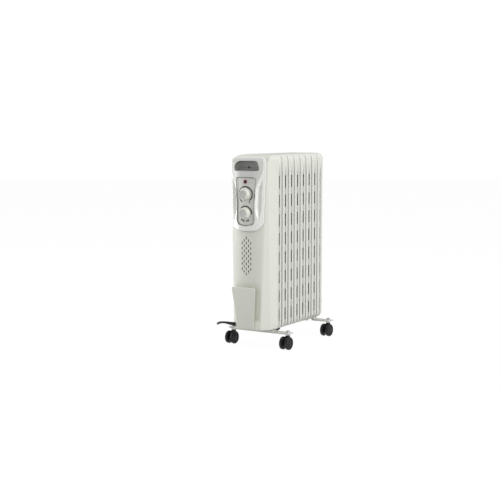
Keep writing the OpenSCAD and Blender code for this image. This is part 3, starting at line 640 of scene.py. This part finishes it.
def storeDip(x, z):
    s = storeSettings
    if not s["low"] < z < s["high"]:
        return 0.0
    crease = housingSettings["footHalf"] + s["spread"] * (z - housingLow.z) / creaseRun
    side = 1 - smoothStep(s["flat"], 1, abs(x) / (crease - s["edge"]))
    rise = smoothStep(s["low"], s["low"] + s["ledge"], z)
    return s["floor"] * side * rise * (1 - smoothStep(s["high"] - s["fade"], s["high"], z))


def housingBlock(inset, back):
    s = housingSettings
    bm = bmesh.new()
    bmesh.ops.create_grid(bm, x_segments=s["columns"], y_segments=s["rows"], size=1)
    lowZ, highZ = housingLow.z + inset, housingHigh.z - inset
    browZ = housingHigh.z - s["browRadius"]
    foot, brow = s["footShare"], 1 - s["browShare"]
    for v in bm.verts:
        t = (v.co.y + 1) / 2
        angle = math.pi / 2 * (1 - abs(v.co.x))
        side = 1 if v.co.x >= 0 else -1
        tuck = 0.0
        if t < foot:
            turn = math.pi / 2 * t / foot
            tuck = s["footRadius"] * (1 - math.sin(turn))
            z = lowZ + s["footRadius"] * (1 - math.cos(turn))
        elif t < brow:
            share = (t - foot) / s["faceShare"]
            z = lowZ + s["footRadius"] + (browZ - lowZ - s["footRadius"]) * share
        else:
            z = browZ + (highZ - browZ) * math.sin(math.pi / 2 * (t - brow) / s["browShare"])
        reach = housingReach(angle, z, inset) - tuck
        x, y = side * reach * math.cos(angle), rimY - reach * math.sin(angle)
        v.co = (x, y + storeDip(x, z), z)
    low = [v for v in bm.verts if v.co.z < lowZ + 1e-6]
    high = [v for v in bm.verts if v.co.z > highZ - 1e-6]
    rim = [v for v in bm.verts if v.co.y > rimY - 1e-6]
    for ring in (low, high):
        ring.sort(key=lambda v: math.atan2(rimY + 1 * mm - v.co.y, v.co.x))
        bm.faces.new(ring)
    right = sorted((v for v in rim if v.co.x > 0), key=lambda v: v.co.z)
    left = sorted((v for v in rim if v.co.x < 0), key=lambda v: -v.co.z)
    face = bm.faces.new(right + left)
    if back > 0:
        pushBack(bm, face, back)
        bmesh.ops.delete(bm, geom=[face], context="FACES_ONLY")
    bmesh.ops.recalc_face_normals(bm, faces=bm.faces)
    return bm


ventSettings = {"columns": (-2, -1, 0, 1, 2), "most": 8, "stepX": 8 * mm, "stepZ": 16.6 * mm,
                "half": 1.8 * mm, "length": 9.4 * mm, "middle": 306.5 * mm, "ahead": 4 * mm,
                "through": 16 * mm}


def ventTool():
    s = ventSettings
    bm = bmesh.new()
    for column in s["columns"]:
        count = s["most"] - abs(column)
        for i in range(count):
            x = column * s["stepX"]
            z = s["middle"] + (i - (count - 1) / 2) * s["stepZ"]
            top = z + s["length"] / 2 - s["half"]
            low = z - s["length"] / 2 + s["half"]
            ring = arcPoints((x, top), s["half"], 0, 180, 6) + arcPoints((x, low), s["half"], 180, 360, 6)
            face = bm.faces.new([bm.verts.new((px, crownY - s["ahead"], pz)) for px, pz in ring])
            pushBack(bm, face, s["through"])
    return toolObject(bm)


def makeHousing():
    s = behindSettings
    shell = addPiece("frontHousing", housingBlock(0, 0), ["housing_shell"])
    cutOut(shell, toolObject(housingBlock(housingSettings["wall"], housingSettings["past"])))
    cutOut(shell, ventTool())
    behind = slabOutline(s["half"], panelLow.z + s["foot"], panelHigh.z - s["top"], s["lowRadius"],
                         s["highRadius"])
    cutOut(shell, toolObject(slabTool(behind, crownY - s["front"], crownY + s["back"])))
    bm = bmesh.new()
    spinProfile(bm, [(r * mm, z * mm) for r, z in bootSettings["hole"]], bootBase, bootAxis, 24)
    cutOut(shell, toolObject(bm))
    smoothByAngle(shell, 32)


makeHousing()
print("housing ready")


# Control panel: glossy rim with scoops, and the grey field on it

panelSettings = {
    "proud": 9 * mm, "edge": 3 * mm, "wall": 2.5 * mm, "wallEdge": 2 * mm, "lowRadius": 30 * mm,
    "highRadius": 18 * mm, "columns": 130, "rows": 150, "depth": 24 * mm, "past": 5 * mm,
    "radius": 100 * mm, "bow": 6 * mm, "bowHeight": 60 * mm, "neck": 4.5 * mm, "lip": 1.2 * mm,
    "sideGap": 1.5 * mm, "blend": 3 * mm, "clear": 1 * mm}
scoopSettings = {
    "depth": 9.5 * mm, "low": 404 * mm, "high": 572 * mm, "rim": 7 * mm, "gap": 0.5 * mm, "lowFade": 55 * mm,
    "highFade": 60 * mm, "taper": 8 * mm, "lowShare": 0.8, "highShare": 0.55, "deepest": 0.4, "full": 18 * mm}
fieldSettings = {
    "rise": 0.7 * mm, "bow": 6 * mm, "edge": 1.2 * mm, "low": 404 * mm, "high": 619 * mm,
    "lowRadius": 22 * mm, "highRadius": 14 * mm, "columns": 80, "rows": 110, "back": 22 * mm,
    "under": 1.6 * mm, "underEdge": 0.5 * mm, "underBack": 30 * mm, "underGrow": 2 * mm,
    "halves": [(402, 36), (415, 38), (428, 35.5), (447, 33.6), (472, 33.2), (498, 33.8), (520, 36),
               (536, 39.5), (549, 45), (561, 51), (575, 56), (590, 58.5), (625, 59.5)]}
dialSettings = {
    "half": 32 * mm, "low": 407 * mm, "high": 557 * mm, "lowRadius": 6 * mm, "highRadius": 7 * mm,
    "lip": 2.6 * mm, "inset": 3.0 * mm, "bow": 7 * mm, "lap": 1, "edge": 0.4 * mm, "back": 6.4 * mm,
    "sleeve": 2 * mm, "columns": 40, "rows": 60,
    "halves": [(400, 29.5), (468, 29.5), (505, 31.5), (560, 35.5)]}
gripSettings = {
    "half": 45.5 * mm, "low": 579 * mm, "high": 610 * mm, "lowRadius": 7 * mm, "highRadius": 21 * mm,
    "lip": 2.6 * mm, "depth": 15 * mm, "floorRadius": 10.5 * mm, "sleeve": 1.5 * mm,
    "wellX": 2 * mm, "wellDrop": 6 * mm, "well": [(0, -0.3), (4.4, -0.3), (4.4, 0.1), (3.4, 0.6), (0, 0.6)]}
panelY = panelLow.y
panelCentreY = panelY + panelSettings["radius"]


def panelHalf(z):
    foot, top = housingSettings["footHalf"], housingSettings["topHalf"]
    gap, rise = panelSettings["sideGap"], (z - housingLow.z) / creaseRun
    return min(foot + (top - foot) * rise, panelHigh.x + gap) - gap


def fieldHalf(z):
    return curveAt(fieldSettings["halves"], z / mm) * mm


def panelSurface(x, z, rise=0.0):
    radius = panelSettings["radius"] + rise
    front = panelCentreY - math.sqrt(radius ** 2 - x ** 2)
    climb = max(z - housingHigh.z + housingSettings["browRadius"], 0)
    brow = housingSettings["browRadius"] + panelSettings["proud"] + rise
    back = crownY + housingSettings["browRadius"] - math.sqrt(brow ** 2 - climb ** 2)
    return -smoothLess(-front, -back, panelSettings["blend"])


def scoopDip(x, z):
    s = scoopSettings
    if not s["low"] < z < s["high"]:
        return 0.0
    inner, outer = fieldHalf(z) + s["gap"], panelHalf(z) - s["rim"]
    low = 1 - smoothStep(s["low"], s["low"] + s["lowFade"], z)
    high = smoothStep(s["high"] - s["highFade"], s["high"], z)
    outer -= s["taper"] * low
    inner += (outer - inner) * max(s["lowShare"] * low, s["highShare"] * high)
    t = (abs(x) - inner) / max(outer - inner, s["gap"])
    if not 0 < t < 1:
        return 0.0
    deepest = s["deepest"]
    if t < deepest:
        across = smoothStep(0, deepest, t)
    else:
        across = math.cos(math.pi / 2 * (t - deepest) / (1 - deepest))
    return s["depth"] * across * (1 - low ** 2) * (1 - high ** 2) * min(1, (outer - inner) / s["full"])


def bowed(x, z, half, low, bow):
    return z + bow * (x / half) ** 2 * (1 - smoothStep(low, low + panelSettings["bowHeight"], z))


def skinBlock(shape, surface, edge, back, grow=0.0, neck=0.0):
    low, high = shape["low"] - grow + edge, shape["high"] + grow - edge
    lowRadius, highRadius = shape["lowRadius"] + grow - edge, shape["highRadius"] + grow - edge
    foot, top = 0.1, 0.08  # shares of the rows that lie in the rounded ends
    bm = bmesh.new()
    bmesh.ops.create_grid(bm, x_segments=shape["columns"], y_segments=shape["rows"], size=1)
    for v in bm.verts:
        t = (v.co.y + 1) / 2
        half = 0.0
        if t < foot:
            turn = math.pi / 2 * t / foot
            z, half = low + lowRadius * (1 - math.cos(turn)), -lowRadius * (1 - math.sin(turn))
        elif t > 1 - top:
            turn = math.pi / 2 * (1 - t) / top
            z, half = high - highRadius * (1 - math.cos(turn)), -highRadius * (1 - math.sin(turn))
        else:
            z = low + lowRadius + (high - highRadius - low - lowRadius) * (t - foot) / (1 - foot - top)
        half += shape["halfAt"](z) + grow - edge
        x = v.co.x * half
        z = bowed(x, z, shape["halfAt"](z), low, shape["bow"])
        v.co = (x, surface(x, z), z)
    wrapEdge(bm, edge, back, neck)
    bmesh.ops.recalc_face_normals(bm, faces=bm.faces)
    return bm


def wrapEdge(bm, edge, back, neck):
    steps = 5  # of the rounding; a neck adds a lip and a step inwards before the straight side
    rim = [e for e in bm.edges if e.is_boundary]
    push = {}
    for e in rim:
        a, b = e.verts
        out = Vector((b.co.z - a.co.z, 0, a.co.x - b.co.x)).normalized()
        if out.dot((a.co + b.co) / 2 - e.link_faces[0].calc_center_median()) < 0:
            out = -out
        for v in (a, b):
            push[v] = push.get(v, Vector()) + out
    ring = {v: (v.co.copy(), out.normalized()) for v, out in push.items()}
    for k in range(1, steps + (4 if neck else 2)):
        made = bmesh.ops.extrude_edge_only(bm, edges=rim)["geom"]
        rim = [g for g in made if isinstance(g, bmesh.types.BMEdge) and g.is_boundary]
        turn = math.pi / 2 * min(k, steps) / steps
        fresh = {}
        for v in (g for g in made if isinstance(g, bmesh.types.BMVert)):
            old = next(e.other_vert(v) for e in v.link_edges if e.other_vert(v) in ring)
            start, out = ring[old]
            v.co = start + out * edge * math.sin(turn) + Vector((0, edge * (1 - math.cos(turn)), 0))
            if neck and k > steps:
                v.co.y += panelSettings["lip"]
                v.co -= out * neck * min(k - steps - 1, 1)
            if k > steps + (2 if neck else 0):
                v.co.y = back
            fresh[v] = (start, out)
        ring = fresh
        # painted shadow: the neck's faces take material 1, the dark recess grey, for the shadowed gap under
        # the lip
        if neck and k > steps + 1:
            for face in (g for g in made if isinstance(g, bmesh.types.BMFace)):
                face.material_index = 1
    bmesh.ops.contextual_create(bm, geom=rim)


leastRadius = 0.5 * mm
ringStep = 5 * mm


def outlineRing(s, grow):
    radii = [max(s[key] + grow, leastRadius) for key in ("lowRadius", "highRadius")]
    ring = slabOutline(s["half"] + grow, s["low"] - grow, s["high"] + grow, *radii)
    if "halves" not in s:
        return ring
    low, bow, half = s["low"], s["bow"], s["half"]
    shaped = []
    for (x, z), (nextX, nextZ) in zip(ring, ring[1:] + ring[:1]):
        steps = max(1, round(math.hypot(nextX - x, nextZ - z) / ringStep))
        for k in range(steps):
            px, pz = x + (nextX - x) * k / steps, z + (nextZ - z) * k / steps
            px *= (curveAt(s["halves"], pz / mm) * mm + grow) / (half + grow)
            shaped.append((px, bowed(px, pz, half, low, bow)))
    return shaped


def loftRings(bm, rings, material=0, closeLast=False):
    loops = []
    for ring in rings:
        verts = [bm.verts.new(point) for point in ring]
        loops.append([bm.edges.new((verts[i - 1], verts[i])) for i in range(len(verts))])
    made = []
    for a, b in zip(loops, loops[1:]):
        made += bmesh.ops.bridge_loops(bm, edges=a + b)["faces"]
    if closeLast:
        made += bmesh.ops.contextual_create(bm, geom=loops[-1])["faces"]
    for face in made:
        face.material_index = material


openingAhead = 6 * mm
openingBack = 30 * mm


def openingTool(s, grow):
    return toolObject(slabTool(outlineRing(s, grow), panelY - openingAhead, crownY + openingBack))


def makePanel():
    s = panelSettings
    back = crownY + s["depth"]
    shape = {"low": panelLow.z, "high": panelHigh.z, "halfAt": panelHalf}
    for key in ("lowRadius", "highRadius", "columns", "rows", "bow"):
        shape[key] = s[key]
    front = lambda x, z: panelSurface(x, z) + scoopDip(x, z)
    # painted shadow: material 1, the recess grey, goes on the neck under the panel's lip
    panel = addPiece("controlPanel", skinBlock(shape, front, s["edge"], back, neck=s["neck"]),
                     ["control_bezel"], [finishOf["white_gloss"], finishOf["recess_plastic"]])
    inner = lambda x, z: panelSurface(x, z) + scoopDip(x, z) + s["wall"]
    hollow = skinBlock(shape, inner, s["wallEdge"], back + s["past"], -s["wall"] - s["neck"])
    cutOut(panel, toolObject(hollow))
    cutOut(panel, openingTool(dialSettings, dialSettings["lip"] + s["clear"]))
    cutOut(panel, openingTool(gripSettings, gripSettings["lip"] + s["clear"]))
    smoothByAngle(panel, 30)


def makeField():
    s = fieldSettings
    shape = {"halfAt": fieldHalf}
    for key in ("low", "high", "lowRadius", "highRadius", "columns", "rows", "bow"):
        shape[key] = s[key]
    front = lambda x, z: panelSurface(x, z, s["rise"])
    field = addPiece("controlField", skinBlock(shape, front, s["edge"], crownY + s["back"]),
                     ["control_bezel"], [fieldPaint])
    under = lambda x, z: panelSurface(x, z) + s["under"]
    hollow = skinBlock(shape, under, s["underEdge"], crownY + s["underBack"], s["underGrow"])
    cutOut(field, toolObject(hollow))
    cutOut(field, openingTool(dialSettings, dialSettings["lip"]))
    cutOut(field, openingTool(gripSettings, gripSettings["lip"]))
    smoothByAngle(field, 30)


def lipRings(s, depth):
    steps = 6

    def ring(grow, back):
        return [(x, panelSurface(x, z, fieldSettings["rise"]) + back, z) for x, z in outlineRing(s, grow)]

    rings = []
    for k in range(steps + 1):
        turn = math.pi / 2 * k / steps
        rings.append(ring(s["lip"] * (1 - math.sin(turn)), s["lip"] * (1 - math.cos(turn))))
    return rings + [ring(0, depth)]


def makeDial():
    s = dialSettings
    bm = bmesh.new()
    # painted shade: the lip ring around the dial is the dark recess grey, drawing the inset's shadow line
    loftRings(bm, lipRings(s, s["inset"] + s["sleeve"]))
    bmesh.ops.recalc_face_normals(bm, faces=bm.faces)
    addPiece("dialFrame", bm, ["control_bezel"], [finishOf["recess_plastic"]])
    lap = s["lap"]
    face = {"low": s["low"] - lap * mm, "high": s["high"] + lap * mm, "lowRadius": s["lowRadius"] + lap * mm,
            "highRadius": s["highRadius"] + lap * mm, "columns": s["columns"], "rows": s["rows"],
            "halfAt": lambda z: (curveAt(s["halves"], z / mm) + lap) * mm, "bow": s["bow"]}
    addPiece("dialFace", skinBlock(face, dialSurface, s["edge"], panelY + s["back"]), ["dial_plate"])


def dialSurface(x, z):
    radius = panelSettings["radius"] - dialSettings["inset"]
    return panelCentreY - math.sqrt(radius ** 2 - x ** 2)


def makeGrip():
    s = gripSettings
    middle = (s["low"] + s["high"]) / 2
    floorY = panelSurface(0, middle) + s["depth"]
    rings = lipRings(s, s["lip"] + s["sleeve"])
    bm = bmesh.new()
    loftRings(bm, rings, 1)
    inner = [rings[-1]]
    steps = 6
    for k in range(steps + 1):
        turn = math.pi / 2 * k / steps
        y = floorY - s["floorRadius"] * (1 - math.sin(turn))
        inner.append([(x, y, z) for x, z in outlineRing(s, -s["floorRadius"] * (1 - math.cos(turn)))])
    # painted shade: the cup's walls and floor are the dark recess grey, for the shade in the hollow
    loftRings(bm, inner, 0, True)
    bmesh.ops.remove_doubles(bm, verts=bm.verts, dist=1e-6)
    bmesh.ops.recalc_face_normals(bm, faces=bm.faces)
    addPiece("gripCup", bm, ["grip_liner"], [finishOf["recess_plastic"], fieldPaint])
    # painted shadow: a thin black disc stands for the dark screw hole in the cup's floor
    bm = bmesh.new()
    spinProfile(bm, [(r * mm, y * mm) for r, y in s["well"]], (s["wellX"], floorY, middle - s["wellDrop"]),
                (0, 1, 0), 24)
    addPiece("gripScrewHoleShadow", bm, ["grip_liner"], [finishOf["black_rubber"]], replace=False)


makePanel()
makeField()
makeDial()
makeGrip()
print("panel ready")


# Knobs, scale marks and the indicator

knobSettings = {"baseRadius": 19.5 * mm, "faceRadius": 14 * mm, "height": 12 * mm, "thermostatZ": 505 * mm,
                "selectorZ": 444.5 * mm, "lift": 0.4 * mm, "pointer": (1.6 * mm, 0.9 * mm, 5 * mm),
                "pointerEdge": 0.35 * mm, "pointerSink": 0.75 * mm, "pointerDrop": 4.2 * mm}


def makeKnob(name, node, z):
    s = knobSettings
    base = panelY + s["lift"]
    h, b, r = s["height"], s["baseRadius"], s["faceRadius"]
    profile = [(0, 0), (b - 0.6 * mm, 0), (b, 0.5 * mm), (b - 0.1 * mm, 1.6 * mm), (b - 0.9 * mm, 4.5 * mm),
               (r + 2.6 * mm, h * 0.72), (r + 1.5 * mm, h - 1.2 * mm), (r + 0.9 * mm, h - 0.35 * mm), (r, h)]
    profile += [(r - 0.7 * mm, h - 0.1 * mm), (r - 1.6 * mm, h - 0.7 * mm), (r * 0.5, h - 1.0 * mm),
                (0, h - 1.05 * mm)]  # dished face
    bm = bmesh.new()
    faces = spinProfile(bm, profile, (0, base, z), (0, -1, 0), 72)
    for face in faces:
        middle = face.calc_center_median()
        if math.hypot(middle.x, middle.z - z) < r - 0.5 * mm and base - middle.y > h / 2:
            face.material_index = 1
    addPiece(name, bm, [node], [finishOf["white_plastic"], knobFacePaint], 50)
    bm = bmesh.new()
    bmesh.ops.create_cube(bm, size=1)
    bmesh.ops.scale(bm, vec=s["pointer"], verts=bm.verts)
    bmesh.ops.bevel(bm, geom=bm.edges[:], offset=s["pointerEdge"], segments=2, profile=0.5, affect="EDGES",
                    material=-1)
    bmesh.ops.translate(bm, vec=(0, base - h + s["pointerSink"], z + r - s["pointerDrop"]), verts=bm.verts)
    addPiece(name + "Pointer", bm, [node], [finishOf["white_plastic"]], 50, replace=False)


markSettings = {
    "thickness": 0.1 * mm, "proud": 0.04 * mm,
    "thermostat": [  # name, inner and outer radius, start and end angle, steps
        ("scaleSweep", 22.4, 26.6, -52, 116, 60), ("scaleThin", 24.2, 26.6, 116, 168, 24),
        ("scaleDash0", 24.2, 27.0, 172, 178, 4), ("scaleDash1", 24.2, 27.0, 181, 187, 4),
        ("scaleDash2", 24.2, 27.0, 190, 196, 4), ("scaleDash3", 24.2, 27.0, 199, 205, 4),
        ("scaleDash4", 24.2, 27.0, 208, 214, 4), ("scaleLow", 24.8, 28.4, 218, 244, 12),
        ("scaleHigh", 26.4, 30.6, -62, -54, 6)],
    "selector": [
        ("selectorSweep", 20.6, 24.4, -8, 142, 50), ("selectorFirst", 23.4, 27.2, 228, 265, 14),
        ("selectorSecond", 23.4, 27.2, 277, 304, 12)],
    "lamp": [("lampRing", 6.6, 10.4, 0, 360, 48)]}


def makeMark(centreZ, material, name, inner, outer, start, end, steps):
    bm = bmesh.new()
    a = math.radians(start)
    side = Vector((math.cos(a), 0, math.sin(a)))
    centre = Vector((0, panelY, centreZ))
    rows = [bm.verts.new(centre + side * (inner + (outer - inner) * k / 3) * mm) for k in range(4)]
    edges = [bm.edges.new(pair) for pair in zip(rows, rows[1:])]
    whole = abs(end - start) >= 359.9
    bmesh.ops.spin(bm, geom=rows + edges, cent=centre, axis=(0, -1, 0), angle=math.radians(end - start),
                   steps=steps, use_merge=whole, use_duplicate=False)
    bmesh.ops.solidify(bm, geom=bm.faces[:], thickness=markSettings["thickness"])
    for v in bm.verts:
        v.co.y = dialSurface(v.co.x, v.co.z) - markSettings["proud"] - abs(v.co.y - panelY)
    bmesh.ops.recalc_face_normals(bm, faces=bm.faces)
    addPiece(name, bm, ["dial_plate"], [material], replace=False)


lampSettings = {"z": 545 * mm, "sink": 2.4 * mm, "profile": [
    (0, -1.2), (6.0, -1.2), (6.0, 1.3), (5.6, 1.9), (4.6, 2.6), (3.0, 3.2), (1.4, 3.5), (0, 3.6)]}


def makeMarks():
    for mark in markSettings["thermostat"]:
        makeMark(knobSettings["thermostatZ"], scaleInk, *mark)
    for mark in markSettings["selector"]:
        makeMark(knobSettings["selectorZ"], scaleInk, *mark)
    for mark in markSettings["lamp"]:
        makeMark(lampSettings["z"], ringPaint, *mark)


def makeLamp():
    s = lampSettings
    bm = bmesh.new()
    centre = (0, panelY + s["sink"], s["z"])
    spinProfile(bm, [(r * mm, y * mm) for r, y in s["profile"]], centre, (0, -1, 0), 48)
    addPiece("indicatorDome", bm, ["indicator_lens"], smooth=60)


makeKnob("thermostatDial", "thermostat_knob", knobSettings["thermostatZ"])
makeKnob("selectorDial", "selector_knob", knobSettings["selectorZ"])
makeMarks()
makeLamp()
print("controls ready")


# Cord plate

plateSettings = {"topHalf": 44 * mm, "footHalf": 30 * mm, "low": 71 * mm, "high": 208 * mm, "lean": 15 * mm,
                 "thickness": 3 * mm, "round": 1.45 * mm, "footRadius": 3 * mm, "topRadius": 6 * mm,
                 "foot": 1.5 * mm, "bossX": 18 * mm, "bossZ": 18 * mm, "bossAhead": 3 * mm,
                 "boss": [(0, 0), (7 * mm, 0), (7 * mm, 12 * mm), (0, 12 * mm)]}


def makeCordPlate():
    s = plateSettings
    footY, height = crownY - s["foot"], s["high"] - s["low"]
    foot, top = s["footRadius"], s["topRadius"]

    def ring(grow, y):
        points = arcPoints((s["footHalf"] - foot, foot), foot + grow, -90, 0, 6)
        points += arcPoints((s["topHalf"] - top, height - top), top + grow, 0, 90, 8)
        points += [(-x, z) for x, z in reversed(points)]
        return [(x, y, z) for x, z in points]

    t, r, steps = s["thickness"], s["round"], 4
    turns = [math.pi / 2 * k / steps for k in range(steps + 1)]
    rings = [ring(-r * (1 - math.sin(turn)), -t + r * (1 - math.cos(turn))) for turn in turns]
    rings += [ring(-r * (1 - math.cos(turn)), -r * (1 - math.sin(turn))) for turn in turns]
    bm = bmesh.new()
    loftRings(bm, rings, 0, True)
    bmesh.ops.contextual_create(bm, geom=[e for e in bm.edges if e.is_boundary])
    tilt = Matrix.Rotation(math.atan2(s["lean"], height), 4, "X")
    bmesh.ops.transform(bm, matrix=Matrix.Translation((0, footY, s["low"])) @ tilt, verts=bm.verts)
    bmesh.ops.recalc_face_normals(bm, faces=bm.faces)
    addPiece("cordPlate", bm, ["cord_plate"])
    for k, x in enumerate((-s["bossX"], s["bossX"])):
        bm = bmesh.new()
        spinProfile(bm, s["boss"], (x, crownY - s["bossAhead"], housingLow.z + s["bossZ"]), (0, 1, 0), 28)
        addPiece("cordPlateBoss" + str(k), bm, ["cord_plate"], replace=False)


makeCordPlate()
makeBoot()
print("cord plate ready")


# Castors

castorSettings = {"wheelRadius": 21, "wheelWidth": 11, "gap": 5.5, "ribs": 5, "ribTurn": 0.3,
                  "rib": (1.4 * mm, 2.0 * mm, 7.4 * mm), "ribOut": 11.6 * mm, "ribIn": 1.9,
                  "forkEdge": 0.9 * mm, "softAngle": 32}


def makeCastor(name):
    s = castorSettings
    wheels, swivel = "castor_" + name + "_wheels", "castor_" + name + "_body"
    axleLow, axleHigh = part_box("castor_" + name + "_axle")
    centre = (axleLow + axleHigh) / 2
    r, w = s["wheelRadius"], s["wheelWidth"]
    profile = [(2.6, 0), (r - 2.2, 0), (r - 0.9, 0.4), (r - 0.2, 1.3), (r, 2.6), (r, w - 4.2)]  # tread
    profile += [(r - 0.3, w - 2.7), (r - 1.3, w - 1.2), (r - 2.8, w - 0.4), (r - 4.4, w - 0.1)]
    profile += [(r - 5.0, w - 0.3), (r - 5.6, w - 1.5), (r - 6.4, w - 2.2), (9.5, w - 2.0)]  # dished side
    profile += [(8.6, w - 1.6), (8.0, w - 0.5), (7.0, w), (2.2, w), (1.4, w - 0.5), (0, w - 0.6)]  # hub
    bm = bmesh.new()
    for side in (-1, 1):
        start = centre + Vector((side * s["gap"] * mm, 0, 0))
        spinProfile(bm, [(out * mm, along * mm) for out, along in profile], start, (side, 0, 0), 64)
        for k in range(s["ribs"]):
            angle = math.tau * k / s["ribs"] + s["ribTurn"]
            rib = bmesh.ops.create_cube(bm, size=1)["verts"]
            bmesh.ops.scale(bm, vec=s["rib"], verts=rib)
            bmesh.ops.translate(bm, vec=(side * (s["gap"] + w - s["ribIn"]) * mm, 0, s["ribOut"]), verts=rib)
            bmesh.ops.rotate(bm, cent=(0, 0, 0), matrix=Matrix.Rotation(angle, 3, "X"), verts=rib)
            bmesh.ops.translate(bm, vec=centre, verts=rib)
    place = name.title().replace("_", "")
    addPiece("castorWheels" + place, bm, [wheels])
    softened(swivel, "castorFork" + place, s["forkEdge"], 3, s["softAngle"])


for name in ("front_left", "front_right", "rear_left", "rear_right"):
    makeCastor(name)
print("castors ready")


# Floor and light

floorSettings = {"radius": 12, "segments": 96, "glow": 1.09, "glowShare": 0.88}


def makeFloor():
    s = floorSettings
    bm = bmesh.new()
    bmesh.ops.create_circle(bm, cap_ends=True, cap_tris=False, segments=s["segments"], radius=s["radius"])
    mesh = bpy.data.meshes.new("floor")
    bm.to_mesh(mesh)
    bm.free()
    floor = bpy.data.objects.new("floor", mesh)
    collection.objects.link(floor)
    f = Finish("floorPaper", (0.5, 0.5, 0.5, 1), 0.9, specular=0.0)
    rays = f.node("ShaderNodeLightPath")
    glow = f.node("ShaderNodeEmission", {}, {"Color": (1, 1, 1, 1), "Strength": s["glow"]})
    seen = Value(f, rays.outputs["Is Camera Ray"]).most(Value(f, rays.outputs["Is Glossy Ray"]))
    mixed = f.node("ShaderNodeMixShader", {}, {0: seen * s["glowShare"]})
    f.tree.links.new(f.surface.outputs[0], mixed.inputs[1])
    f.tree.links.new(glow.outputs[0], mixed.inputs[2])
    f.tree.links.new(mixed.outputs[0], f.tree.nodes["Material Output"].inputs[0])
    mesh.materials.append(f.material)


def makeWorld(strength):
    world = bpy.data.worlds.new("studio")
    world.use_nodes = True
    bpy.context.scene.world = world
    nodes, links = world.node_tree.nodes, world.node_tree.links
    ground = nodes["Background"]
    ground.inputs["Color"].default_value = (1, 1, 1, 1)
    ground.inputs["Strength"].default_value = strength
    plain = nodes.new("ShaderNodeBackground")
    plain.inputs["Color"].default_value = (1, 1, 1, 1)
    rays = nodes.new("ShaderNodeLightPath")
    most = nodes.new("ShaderNodeMath")
    most.operation = "MAXIMUM"
    links.new(rays.outputs["Is Camera Ray"], most.inputs[0])
    links.new(rays.outputs["Is Transmission Ray"], most.inputs[1])
    both = nodes.new("ShaderNodeMixShader")
    links.new(most.outputs[0], both.inputs[0])
    links.new(ground.outputs[0], both.inputs[1])
    links.new(plain.outputs[0], both.inputs[2])
    links.new(both.outputs[0], nodes["World Output"].inputs[0])


def makeSoftbox(name, place, size, power):
    light = bpy.data.lights.new(name, "AREA")
    light.shape = "RECTANGLE"
    light.size, light.size_y = size
    light.energy = power
    lamp = bpy.data.objects.new(name, light)
    lamp.location = place
    lamp.rotation_mode = "QUATERNION"
    lamp.rotation_quaternion = (Vector(lightSettings["aim"]) - Vector(place)).to_track_quat("-Z", "Y")
    collection.objects.link(lamp)


lightSettings = {
    "world": 0.42, "aim": (0, 0, 0.3),
    "panels": [  # name, place, size and power
        ("keyPanel", (3.4, -0.3, 1.6), (2.0, 2.2), 68), ("topPanel", (0.4, 0.2, 3.2), (2.4, 2.4), 22),
        ("sidePanel", (-3.2, -1.0, 1.0), (1.4, 2.0), 60), ("frontPanel", (0.4, -3.6, 1.4), (1.6, 1.6), 10)]}
makeFloor()
makeWorld(lightSettings["world"])
for panel in lightSettings["panels"]:
    makeSoftbox(*panel)
bpy.context.scene.view_settings.view_transform = "Standard"

print("scene ready")
